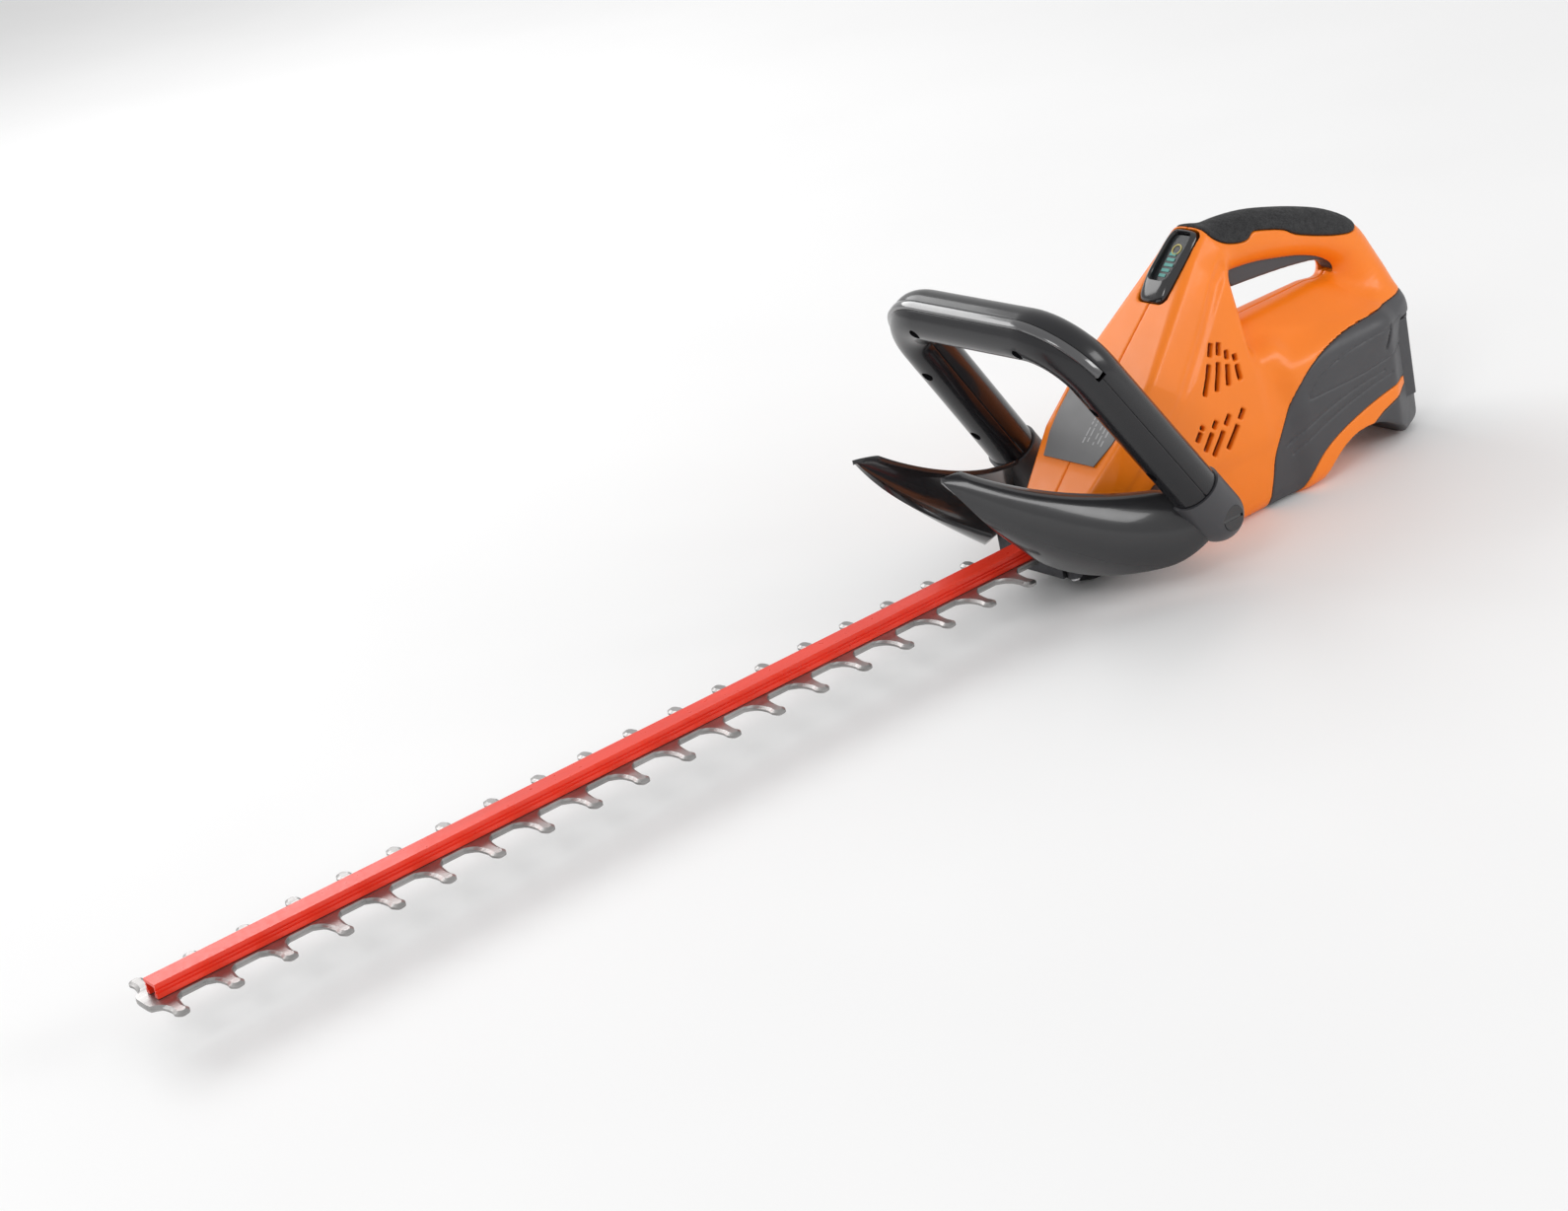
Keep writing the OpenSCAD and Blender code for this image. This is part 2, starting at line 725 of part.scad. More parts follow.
module battery_case() color(dark) difference() {
    union() {
        block([-300, -battery_half, BLOCK_Z[0]], [-300 + battery_l, battery_half, BLOCK_Z[1]]);
        intersection() {
            battery_bay(0.5);
            union() {
                tail_zone(-0.3);
                block([-335, -battery_half + 2, 3], [-299, battery_half - 2, BLOCK_Z[1] - 1]);
            }
        }
    }
    block([-298.5, -battery_half + 2.6, 30.6], [-202.5, battery_half - 2.6, 71]);
    block([-230, -22, 74], [-190, 22, 90]);
    block([-330, -17, 72], [-299, 17, 84]);
    arch_space();
}

module battery_cells() color([0.2, 0.45, 0.75]) {
    for (i = [-2 : 2], z = CELL_Z)
        rod_y(CELL_MID_X + i * CELL_PITCH, z, -cell_l / 2, cell_l / 2, cell_r);
}

module battery_terminals() color([0.8, 0.62, 0.3]) {
    for (y = [-15, -5, 5, 15]) block([-228, y - 0.5, 74], [-206, y + 0.5, 81]);
}

module battery_latch() color(dark) {
    block([-317, -16.5, 72.5], [-304.6, 16.5, 83.5]);
}

module latch_spring() color(steel) translate([-299.3, 0, 78]) rotate([0, -90, 0]) coil(3, 0.25, 2, 2);

module receiver_block() color(black) difference() {
    block([-204, -21, 76], [-190, 21, 87.6]);
    for (y = [-15, -5, 5, 15]) block([-206, y - 1.1, 72], [-197, y + 1.1, 82]);
}

module control_board() color([0.1, 0.35, 0.2]) {
    block([-150, -24, 70], [-100, 24, 71.6]);
    for (x = [-142, -128, -114]) rod_z(x, 12, 71.6, 82, 5);
    for (x = [-140, -126, -112]) block([x - 5, -18, 71.6], [x + 5, -12, 86]);
}

// ---------- motor ----------

MOTOR_TOP = 78;

module motor_can() color(alloy) difference() {
    rod_z(motor_x, 0, case_top_z, MOTOR_TOP, motor_r);
    rod_z(motor_x, 0, case_top_z + 2, MOTOR_TOP - 2, motor_r - 1.5);
    rod_z(motor_x, 0, case_top_z - OVER, MOTOR_TOP + OVER, 6.5);
}

module motor_magnets() color(dark) difference() {
    rod_z(motor_x, 0, case_top_z + 6, MOTOR_TOP - 6, motor_r - 1.6);
    rod_z(motor_x, 0, 0, 100, motor_r - 5);
    block([motor_x - 30, -2, 0], [motor_x + 30, 2, 100]);
}

module motor_bearings() color(steel) for (z = [case_top_z, MOTOR_TOP - 5]) difference() {
    rod_z(motor_x, 0, z, z + 5, 6.4);
    rod_z(motor_x, 0, z - OVER, z + 6, motor_shaft_r + running);
}

module motor_rotor() color([0.6, 0.4, 0.25]) difference() {
    union() {
        rod_z(motor_x, 0, case_top_z + 8, MOTOR_TOP - 8, 5);
        for (a = [0 : 60 : 300]) translate([motor_x, 0, 0]) rotate(a)
            block([3, -2, case_top_z + 8], [motor_r - 5.6, 2, MOTOR_TOP - 8]);
    }
    rod_z(motor_x, 0, 0, 100, motor_shaft_r);
}

module motor_shaft() color(steel) rod_z(motor_x, 0, gear_z - 0.5, 86.5, motor_shaft_r);

module motor_fan() color(dark) difference() {
    union() {
        rod_z(motor_x, 0, 79, 80.5, 17);
        rod_z(motor_x, 0, 79, 86, 4.5);
        for (a = [0 : 40 : 320]) translate([motor_x, 0, 0]) rotate(a)
            block([4, -0.6, 80], [16.5, 0.6, 86]);
    }
    rod_z(motor_x, 0, 0, 100, motor_shaft_r);
}

// ---------- gears ----------

function involute(rb, t) = [rb * (cos(t) + t * PI / 180 * sin(t)), rb * (sin(t) - t * PI / 180 * cos(t))];
function turned_point(p, a) = [p[0] * cos(a) - p[1] * sin(a), p[0] * sin(a) + p[1] * cos(a)];

// Outline of a spur gear with involute flanks, one tooth centred on +X
module gear_outline(teeth, backlash) {
    rp = gear_module * teeth / 2;
    rb = rp * cos(20);
    ra = rp + gear_module * 0.95;
    rf = rp - gear_module * 1.2;
    steps = 5;
    t0 = rf > rb ? acos(rb / rf) * 0 + sqrt(pow(rf / rb, 2) - 1) * 180 / PI : 0;
    ta = sqrt(pow(ra / rb, 2) - 1) * 180 / PI;
    tp = tan(20) * 180 / PI;
    half = 90 / teeth - backlash / rp * 90 / PI + tp - 20;
    flank = [for (i = [0 : steps]) turned_point(involute(rb, t0 + (ta - t0) * i / steps), -half)];
    root = rf < rb ? [turned_point([rf, 0], -half)] : [];
    side = concat(root, flank);
    tooth = concat(side, [for (i = [len(side) - 1 : -1 : 0]) [side[i][0], -side[i][1]]]);
    polygon([for (k = [0 : teeth - 1], p = tooth) turned_point(p, k * 360 / teeth)]);
}

GEAR_BACKLASH = 0.12;

module drive_gear() color(steel) difference() {
    translate([0, 0, gear_z]) linear_extrude(gear_t) gear_outline(gear_teeth, GEAR_BACKLASH);
    rod_z(0, 0, 0, 60, gear_shaft_r);
    for (a = [0 : 60 : 300]) rod_z(15 * cos(a), 15 * sin(a), 0, 60, 4);
}

// The pinion is turned by half a tooth, so that a gap meets the drive gear's tooth
module motor_pinion() color(steel) difference() {
    translate([motor_x, 0, gear_z - 0.3]) rotate(180 / pinion_teeth)
        linear_extrude(gear_t + 0.6) gear_outline(pinion_teeth, GEAR_BACKLASH);
    rod_z(motor_x, 0, 0, 60, motor_shaft_r);
}

// The discs reach past the shaft, so a round hub joins each one to it
module upper_eccentric() color(steel) difference() {
    hull() {
        rod_z(eccentric_offset, 0, upper_blade_z, upper_blade_z + blade_t, eccentric_r);
        rod_z(0, 0, upper_blade_z, upper_blade_z + blade_t, 6.5);
    }
    rod_z(0, 0, 0, 60, gear_shaft_r);
}

module lower_eccentric() color(steel) difference() {
    hull() {
        rod_z(-eccentric_offset, 0, lower_blade_z, lower_blade_z + blade_t, eccentric_r);
        rod_z(0, 0, lower_blade_z, lower_blade_z + blade_t, 6.5);
    }
    rod_z(0, 0, 0, 60, gear_shaft_r);
}

module gear_shaft() color(steel) rod_z(0, 0, 6.5, case_top_z - 0.5, gear_shaft_r);

BEARING_R = 9;

module gear_bearings() color(steel) for (z = [[9, 15], [case_roof_z - 0.6, case_top_z - 0.6]]) difference() {
    rod_z(0, 0, z[0], z[1], BEARING_R);
    rod_z(0, 0, z[0] - OVER, z[1] + OVER, gear_shaft_r + running);
}

EAR = [39, 34];

module case_plan() {
    square([2 * (cavity_x + case_wall), 2 * (cavity_y + case_wall)], center = true);
    for (x = [-EAR[0], EAR[0]], y = [-EAR[1], EAR[1]]) translate([x, y]) circle(r = 5, $fn = ROUND);
}

module gear_case_upper() color(alloy) difference() {
    translate([0, 0, case_split_z]) linear_extrude(case_top_z - case_split_z) case_plan();
    block([-cavity_x, -cavity_y, case_split_z - OVER], [cavity_x, cavity_y, case_roof_z]);
    rod_z(0, 0, case_roof_z - OVER, case_top_z - 0.6, BEARING_R);
    rod_z(0, 0, case_roof_z, case_top_z + OVER, gear_shaft_r + 1);
    rod_z(motor_x, 0, case_roof_z - OVER, case_top_z + OVER, 6.5);
    block([cavity_x - OVER, -rail_w / 2 - 0.05, case_split_z - OVER],
          [cavity_x + case_wall + OVER, rail_w / 2 + 0.05, rail_z + rail_h + 0.05]);
    for (x = [-EAR[0], EAR[0]], y = [-EAR[1], EAR[1]]) rod_z(x, y, 0, 60, 1.7);
}

CASE_FLANGE_Z = 20;

module gear_case_lower() color(black) difference() {
    union() {
        translate([0, 0, CASE_FLANGE_Z]) linear_extrude(case_split_z - CASE_FLANGE_Z - 0.05) case_plan();
        rotate_extrude($fn = ROUND) polygon([[0, 0], [13, 0], [16, 1.5], [26, 17], [26, 21], [0, 21]]);
    }
    block([-cavity_x, -cavity_y, case_floor_z], [cavity_x, cavity_y, case_split_z + OVER]);
    rod_z(0, 0, 9, case_floor_z + OVER, BEARING_R);
    rod_z(0, 0, 5, 10, 6);
    block([cavity_x - OVER, -web_half - 1.3, lower_blade_z - 0.8],
          [cavity_x + case_wall + OVER, web_half + 1.3, case_split_z + OVER]);
    for (x = [-EAR[0], EAR[0]], y = [-EAR[1], EAR[1]]) rod_z(x, y, 0, 60, 1.7);
}

module gear_case_screws() color(steel) {
    for (x = [-EAR[0], EAR[0]], y = [-EAR[1], EAR[1]]) {
        rod_z(x, y, CASE_FLANGE_Z, case_top_z - 1, 1.6);
        rod_z(x, y, CASE_FLANGE_Z - 2, CASE_FLANGE_Z, 3);
    }
}

module blade_seal() color(black) difference() {
    block([cavity_x + 0.2, -web_half - 1.2, lower_blade_z - 0.7],
          [cavity_x + case_wall - 0.2, web_half + 1.2, case_split_z - 0.2]);
    block([cavity_x - OVER, -web_half - 0.3, lower_blade_z - 0.3],
          [cavity_x + 6, web_half + 0.3, upper_blade_z + blade_t + 0.3]);
    block([cavity_x - OVER, -rail_w / 2 - 0.1, upper_blade_z], [cavity_x + 6, rail_w / 2 + 0.1, 60]);
}

// ---------- blades ----------

// Half outline of one tooth from its root to its tip, about the tooth's middle
TOOTH = [[10.5, 0], [6.6, 0.17], [5, 0.42], [4.3, 0.64], [4.9, 0.82], [3.4, 0.95], [1.2, 1]];
SHORT_TEETH = 3;
SHORT_REACH = 33;

function reversed(list) = [for (i = [len(list) - 1 : -1 : 0]) list[i]];

// side is +1 for the left edge of the blade and -1 for the right
module tooth(reach, side) {
    depth = reach - web_half;
    front = [for (p = TOOTH) [p[0], side * (web_half + p[1] * depth)]];
    back = [for (p = reversed(TOOTH)) [-p[0] * 0.94, side * (web_half + p[1] * depth)]];
    outline = concat(front, back);
    polygon(side > 0 ? outline : reversed(outline));
}

BOLT_R = 2.5;
BOLT_FIRST = 78;
BOLT_STEP = 144;
BOLT_COUNT = 5;
slot_play = 0.4;

module web_outline() {
    full = first_tooth_x + TOOTH[0][0];
    polygon([[60, -web_half], [full, -web_half], [blade_end_x, -5], [blade_end_x, 5], [full, web_half],
             [60, web_half]]);
}

// dir is +1 for the blade that starts at the front of its stroke
module blade(z, dir) {
    front = dir > 0 ? sweep_r + blade_stroke : sweep_r;
    back = dir > 0 ? sweep_r : sweep_r + blade_stroke;
    translate([0, 0, z]) linear_extrude(blade_t) difference() {
        union() {
            web_outline();
            translate([-back - window_gap - yoke_wall, -sweep_r - window_gap - yoke_wall])
                square([front + back + 2 * (window_gap + yoke_wall), 2 * (sweep_r + window_gap + yoke_wall)]);
            translate([10, -web_half]) square([60, 2 * web_half]);
        }
        translate([-back - window_gap, -sweep_r - window_gap])
            square([front + back + 2 * window_gap, 2 * (sweep_r + window_gap)]);
        for (i = [0 : BOLT_COUNT - 1]) translate([BOLT_FIRST + i * BOLT_STEP, 0]) hull() {
            circle(r = BOLT_R + slot_play, $fn = 32);
            translate([dir * blade_stroke, 0]) circle(r = BOLT_R + slot_play, $fn = 32);
        }
    }
}

module upper_blade() color(steel) blade(upper_blade_z, 1);

module lower_blade() color(steel) blade(lower_blade_z, -1);

// The teeth along both edges of one blade; each root lies flat on the web's edge
module teeth(z) {
    for (i = [0 : tooth_count - 1], side = [-1, 1])
        translate([first_tooth_x - i * tooth_pitch, 0, z]) linear_extrude(blade_t)
            tooth(i < SHORT_TEETH ? SHORT_REACH : tooth_reach, side);
}

module upper_teeth() color(steel) teeth(upper_blade_z);

module lower_teeth() color(steel) teeth(lower_blade_z);

module rail() color(red) difference() {
    translate([rail_start_x, 0, rail_z]) rotate([90, 0, 90])
    linear_extrude(rail_end_x - rail_start_x) difference() {
        translate([-rail_w / 2, 0]) square([rail_w, rail_h]);
        translate([-rail_w / 2 + 2.2, 2.4]) square([rail_w - 4.4, rail_h - 4.6]);
        for (y = [-rail_w / 2, rail_w / 2], z = [rail_h * 0.42, rail_h * 0.66])
            translate([y, z]) square([2 * RAIL_GROOVE_DEEP, RAIL_GROOVE_W], center = true);
        translate([-3.4, -OVER]) square([6.8, 4]);
    }
}

module blade_bolts() color(dark) for (i = [0 : BOLT_COUNT - 1]) {
    x = BOLT_FIRST + i * BOLT_STEP;
    rod_z(x, 0, lower_blade_z - 0.2, rail_z + 4.6, BOLT_R);
    rod_z(x, 0, lower_blade_z - 2.6, lower_blade_z - 0.2, 5.2);
}

module blade_nuts() color(steel) for (i = [0 : BOLT_COUNT - 1])
    translate([BOLT_FIRST + i * BOLT_STEP, 0, rail_z + 2.5]) difference() {
        cylinder(r = 4.6, h = 2.6, $fn = 6);
        translate([0, 0, -OVER]) cylinder(r = BOLT_R, h = 6, $fn = ROUND);
    }

housing_left();
housing_right();
housing_screws();
grip_overmold();
side_panel_left();
side_panel_right();
label_plate();
display_bezel();
display_board();
display_window();
guard();
guard_screws();
foot_left();
foot_right();
foot_caps();
hoop_rear_shell();
hoop_front_shell();
hoop_screws();
switch_bar();
switch_bar_springs();
hoop_switch();
rear_trigger();
trigger_pin();
trigger_spring();
trigger_switch();
battery_case();
battery_cells();
battery_terminals();
battery_latch();
latch_spring();
receiver_block();
control_board();
motor_can();
motor_magnets();
motor_bearings();
motor_rotor();
motor_shaft();
motor_pinion();
motor_fan();
gear_case_upper();
gear_case_lower();
gear_case_screws();
gear_bearings();
drive_gear();
upper_eccentric();
lower_eccentric();
gear_shaft();
upper_blade();
lower_blade();
upper_teeth();
lower_teeth();
rail();
blade_bolts();
blade_nuts();
blade_seal();
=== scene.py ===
"""Looks of a cordless hedge trimmer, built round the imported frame.

Lengths inside the shape code are in millimetres in the row frame, and meshes are written in metres.
"""

import json
import math
import random

import bmesh
import bpy
import numpy as np
import openvdb
from mathutils import Matrix, Vector


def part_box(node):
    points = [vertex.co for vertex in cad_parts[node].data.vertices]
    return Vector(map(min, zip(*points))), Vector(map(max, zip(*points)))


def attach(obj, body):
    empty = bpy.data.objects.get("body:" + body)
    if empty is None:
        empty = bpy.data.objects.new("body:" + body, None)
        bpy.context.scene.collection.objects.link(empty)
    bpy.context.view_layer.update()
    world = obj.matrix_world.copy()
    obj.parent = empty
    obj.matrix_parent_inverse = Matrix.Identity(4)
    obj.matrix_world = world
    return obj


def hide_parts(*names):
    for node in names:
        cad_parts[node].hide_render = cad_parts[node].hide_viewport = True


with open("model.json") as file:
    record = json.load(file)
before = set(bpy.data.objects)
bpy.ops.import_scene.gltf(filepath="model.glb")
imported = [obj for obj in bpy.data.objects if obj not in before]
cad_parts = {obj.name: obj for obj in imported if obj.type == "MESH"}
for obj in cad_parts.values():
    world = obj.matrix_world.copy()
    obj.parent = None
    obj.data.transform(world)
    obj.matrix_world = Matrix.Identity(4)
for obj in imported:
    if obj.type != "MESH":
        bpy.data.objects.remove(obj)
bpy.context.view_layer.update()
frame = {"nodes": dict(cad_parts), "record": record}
MM = 0.001
random.seed(7)

# ---------------------------------------------------------------- camera and light

CAMERA_PLACE = Vector((1.2967, 1.5900, 0.8541))
CAMERA_LOOK = Vector((-0.509, -0.774, -0.377))
CAMERA_UP = Vector((-0.378, -0.193, 0.905))
CAMERA_LENS = 73.6


def look_matrix(place, look, up):
    back = -look.normalized()
    right = up.cross(back).normalized()
    matrix = Matrix((right, back.cross(right), back)).transposed().to_4x4()
    matrix.translation = place
    return matrix


def add_camera():
    data = bpy.data.cameras.new("camera")
    data.lens = CAMERA_LENS
    data.sensor_width = 36
    data.clip_end = 50
    camera = bpy.data.objects.new("camera", data)
    bpy.context.scene.collection.objects.link(camera)
    camera.matrix_world = look_matrix(CAMERA_PLACE, CAMERA_LOOK, CAMERA_UP)
    bpy.context.scene.camera = camera


def add_area_light(name, place, target, size, power):
    data = bpy.data.lights.new(name, "AREA")
    data.shape = "RECTANGLE"
    data.size, data.size_y = size
    data.energy = power
    light = bpy.data.objects.new(name, data)
    bpy.context.scene.collection.objects.link(light)
    light.matrix_world = look_matrix(Vector(place), Vector(target) - Vector(place), Vector((0, 0, 1)))


def add_studio():
    world = bpy.data.worlds.new("studio")
    world.use_nodes = True
    background = world.node_tree.nodes["Background"]
    background.inputs["Color"].default_value = (1, 1, 1, 1)
    background.inputs["Strength"].default_value = 0.7
    bpy.context.scene.world = world
    bpy.context.scene.view_settings.view_transform = "Standard"
    add_area_light("overhead", (-0.4, -0.4, 6.5), (-0.4, -0.4, 0), (6, 6), 250)
    add_area_light("key", (0.45, -2.2, 1.6), (-0.05, 0, 0.1), (2.4, 1.1), 28)
    add_area_light("fill", (-1.3, 1.9, 1.0), (-0.1, 0, 0.1), (1.3, 0.6), 12)
    add_area_light("front", (2.3, 1.3, 2.0), (0, 0, 0.1), (1.0, 0.8), 12)
    bpy.ops.mesh.primitive_plane_add(size=60, location=(0, 0, -0.0004))
    floor = bpy.context.object
    floor.name = "floor"
    floor.data.materials.append(floor_material())


# ---------------------------------------------------------------- materials

def new_material(name, color, roughness, metallic=0.0, coat=0.0, specular=0.5):
    """A principled material; what is the same all over sits on the shader's own sockets."""
    made = bpy.data.materials.new(name)
    made.use_nodes = True
    made.diffuse_color = (*color, 1)
    shader = made.node_tree.nodes["Principled BSDF"]
    shader.inputs["Base Color"].default_value = (*color, 1)
    shader.inputs["Roughness"].default_value = roughness
    shader.inputs["Metallic"].default_value = metallic
    shader.inputs["Specular IOR Level"].default_value = specular
    if coat:
        shader.inputs["Coat Weight"].default_value = coat
        shader.inputs["Coat Roughness"].default_value = 0.06
    return made, made.node_tree, shader


def coordinates(tree, stretch=(1, 1, 1)):
    source = tree.nodes.new("ShaderNodeTexCoord")
    mapping = tree.nodes.new("ShaderNodeMapping")
    mapping.inputs["Scale"].default_value = stretch
    tree.links.new(source.outputs["Object"], mapping.inputs["Vector"])
    return mapping.outputs["Vector"]


def noise(tree, scale, detail=3.0, stretch=(1, 1, 1)):
    node = tree.nodes.new("ShaderNodeTexNoise")
    node.inputs["Scale"].default_value = scale
    node.inputs["Detail"].default_value = detail
    tree.links.new(coordinates(tree, stretch), node.inputs["Vector"])
    return node.outputs["Fac"]


def cells(tree, scale):
    node = tree.nodes.new("ShaderNodeTexVoronoi")
    node.inputs["Scale"].default_value = scale
    tree.links.new(coordinates(tree), node.inputs["Vector"])
    return node.outputs["Distance"]


def spread(tree, fac, low, high, start=0.3, stop=0.7):
    """Maps a texture's middle range onto low to high."""
    node = tree.nodes.new("ShaderNodeMapRange")
    node.inputs["From Min"].default_value = start
    node.inputs["From Max"].default_value = stop
    node.inputs["To Min"].default_value = low
    node.inputs["To Max"].default_value = high
    tree.links.new(fac, node.inputs["Value"])
    return node.outputs["Result"]


def vary_color(tree, shader, fac, dark, light):
    ramp = tree.nodes.new("ShaderNodeValToRGB")
    ramp.color_ramp.elements[0].position = 0.3
    ramp.color_ramp.elements[1].position = 0.7
    ramp.color_ramp.elements[0].color = (*dark, 1)
    ramp.color_ramp.elements[1].color = (*light, 1)
    tree.links.new(fac, ramp.inputs["Fac"])
    tree.links.new(ramp.outputs["Color"], shader.inputs["Base Color"])


def bump(tree, shader, height, distance, strength=1.0, under=None):
    node = tree.nodes.new("ShaderNodeBump")
    node.inputs["Strength"].default_value = strength
    node.inputs["Distance"].default_value = distance
    tree.links.new(height, node.inputs["Height"])
    if under is not None:
        tree.links.new(under, node.inputs["Normal"])
    tree.links.new(node.outputs["Normal"], shader.inputs["Normal"])
    return node.outputs["Normal"]


def shaded(color, factor):
    return tuple(min(1.0, c * factor) for c in color)


def moulded(name, color, roughness, grain, depth, coat=0.0, specular=0.5, play=0.06, swell=0.0002):
    """Moulded plastic: a slight cloud in the colour and the gloss, and a spark-eroded grain."""
    made, tree, shader = new_material(name, color, roughness, coat=coat, specular=specular)
    vary_color(tree, shader, noise(tree, 22), shaded(color, 1 - play), shaded(color, 1 + play))
    gloss = spread(tree, noise(tree, 70, 5), roughness * 0.88, roughness * 1.14)
    tree.links.new(gloss, shader.inputs["Roughness"])
    under = bump(tree, shader, noise(tree, 14, 1), swell, 0.25)
    bump(tree, shader, noise(tree, grain, 4), depth, 0.5, under)
    return made


def grip_rubber():
    color = (0.018, 0.018, 0.020)
    made, tree, shader = new_material("grip_rubber", color, 0.62, specular=0.35)
    speck = cells(tree, 1150)
    vary_color(tree, shader, speck, (0.032, 0.032, 0.034), (0.010, 0.010, 0.011))
    tree.links.new(spread(tree, noise(tree, 220, 3), 0.5, 0.75), shader.inputs["Roughness"])
    under = bump(tree, shader, speck, 0.0005, 0.55)
    bump(tree, shader, noise(tree, 1800, 2), 0.0002, 0.4, under)
    return made


def ground_steel(name, color=(0.36, 0.35, 0.345), along=(6, 900, 900)):
    """Steel with grinding marks that run along +X."""
    made, tree, shader = new_material(name, color, 0.34, metallic=0.92)
    marks = noise(tree, 1.0, 6, along)
    vary_color(tree, shader, noise(tree, 60, 4), shaded(color, 0.8), shaded(color, 1.16))
    tree.links.new(spread(tree, marks, 0.26, 0.48), shader.inputs["Roughness"])
    bump(tree, shader, marks, 0.00008, 0.5)
    return made


def powder_coat():
    color = (0.86, 0.040, 0.014)
    made, tree, shader = new_material("red_powder_coat", color, 0.36, specular=0.35, coat=0.12)
    vary_color(tree, shader, noise(tree, 9, 2, (1, 8, 8)), (0.80, 0.034, 0.012), (0.92, 0.048, 0.018))
    tree.links.new(spread(tree, noise(tree, 300, 3), 0.27, 0.4), shader.inputs["Roughness"])
    bump(tree, shader, noise(tree, 1500, 3), 0.0001, 0.35)
    return made


def cast_metal(name, color, roughness=0.5):
    made, tree, shader = new_material(name, color, roughness, metallic=0.85)
    vary_color(tree, shader, noise(tree, 90, 4), shaded(color, 0.8), shaded(color, 1.2))
    gloss = spread(tree, noise(tree, 400, 4), roughness * 0.8, roughness * 1.25)
    tree.links.new(gloss, shader.inputs["Roughness"])
    bump(tree, shader, noise(tree, 1300, 4), 0.0002, 0.45)
    return made


def clear_window():
    made, tree, shader = new_material("window_acrylic", (0.03, 0.034, 0.036), 0.2, specular=0.4)
    shader.inputs["Alpha"].default_value = 0.93
    tree.links.new(spread(tree, noise(tree, 160, 3), 0.16, 0.26), shader.inputs["Roughness"])
    bump(tree, shader, noise(tree, 30, 1), 0.0001, 0.15)
    return made


def glowing(name, color, strength):
    made, tree, shader = new_material(name, color, 0.4)
    shader.inputs["Emission Color"].default_value = (*color, 1)
    shader.inputs["Emission Strength"].default_value = strength
    vary_color(tree, shader, noise(tree, 600, 2), shaded(color, 0.85), shaded(color, 1.1))
    return made


def felt_cloth():
    made, tree, shader = new_material("felt", (0.05, 0.05, 0.05), 0.95)
    vary_color(tree, shader, noise(tree, 2200, 5), (0.03, 0.03, 0.03), (0.09, 0.09, 0.09))
    bump(tree, shader, noise(tree, 2600, 4), 0.0004, 0.7)
    return made


def board_material():
    color = (0.02, 0.13, 0.06)
    made, tree, shader = new_material("circuit_board", color, 0.35, coat=0.4)
    vary_color(tree, shader, cells(tree, 320), shaded(color, 0.6), shaded(color, 1.5))
    bump(tree, shader, cells(tree, 320), 0.0002, 0.4)
    return made


def floor_material():
    made, tree, shader = new_material("floor", (0.93, 0.93, 0.93), 0.6, specular=0.2)
    vary_color(tree, shader, noise(tree, 3, 2), (0.92, 0.92, 0.92), (0.94, 0.94, 0.94))
    return made


ORANGE = (0.97, 0.225, 0.006)
MATERIALS = {
    "orange_shell": moulded("orange_shell", ORANGE, 0.38, 900, 0.00004, coat=0.12, specular=0.4, play=0.03),
    "soft_grip": grip_rubber(),
    "grey_panel": moulded("grey_panel", (0.056, 0.056, 0.061), 0.42, 1500, 0.00006, swell=0.0002),
    "hoop_plastic": moulded("hoop_plastic", (0.010, 0.010, 0.012), 0.24, 1500, 0.00002, coat=0.25,
                            specular=0.38, swell=0.00008),
    "switch_strip": moulded("switch_strip", (0.05, 0.05, 0.053), 0.16, 1500, 0.00003, coat=0.9, specular=0.8),
    "label": moulded("label", (0.15, 0.15, 0.153), 0.4, 2000, 0.00004),
    "dark_screw": cast_metal("dark_screw", (0.03, 0.03, 0.032), 0.4),
    "gloss_black": moulded("gloss_black", (0.014, 0.014, 0.016), 0.12, 700, 0.00003, coat=0.5),
    "guard_plastic": moulded("guard_plastic", (0.026, 0.026, 0.028), 0.2, 1100, 0.00002, coat=0.4,
                             specular=0.4, swell=0.00008),
    "black_plastic": moulded("black_plastic", (0.02, 0.02, 0.021), 0.45, 1200, 0.0001),
    "circuit_board": board_material(),
    "window": clear_window(),
    "ground_steel": ground_steel("ground_steel"),
    "plain_steel": ground_steel("plain_steel", (0.55, 0.55, 0.56), (300, 300, 300)),
    "motor_steel": cast_metal("motor_steel", (0.42, 0.42, 0.43), 0.35),
    "magnet": cast_metal("magnet", (0.10, 0.10, 0.11), 0.5),
    "case_alloy": cast_metal("case_alloy", (0.055, 0.055, 0.06), 0.45),
    "red_rail": powder_coat(),
    "cell_wrap": moulded("cell_wrap", (0.05, 0.22, 0.5), 0.3, 900, 0.00005),
    "contact": cast_metal("contact", (0.72, 0.5, 0.22), 0.3),
    "felt": felt_cloth(),
    "print_grey": moulded("print_grey", (0.42, 0.42, 0.43), 0.5, 1500, 0.00003),
    "icon_yellow": glowing("icon_yellow", (0.5, 0.42, 0.1), 0.12),
    "icon_teal": glowing("icon_teal", (0.06, 0.3, 0.27), 0.1),
}


DARK_NODES = {"hoop_screws": "dark_screw", "housing_screws": "dark_screw"}


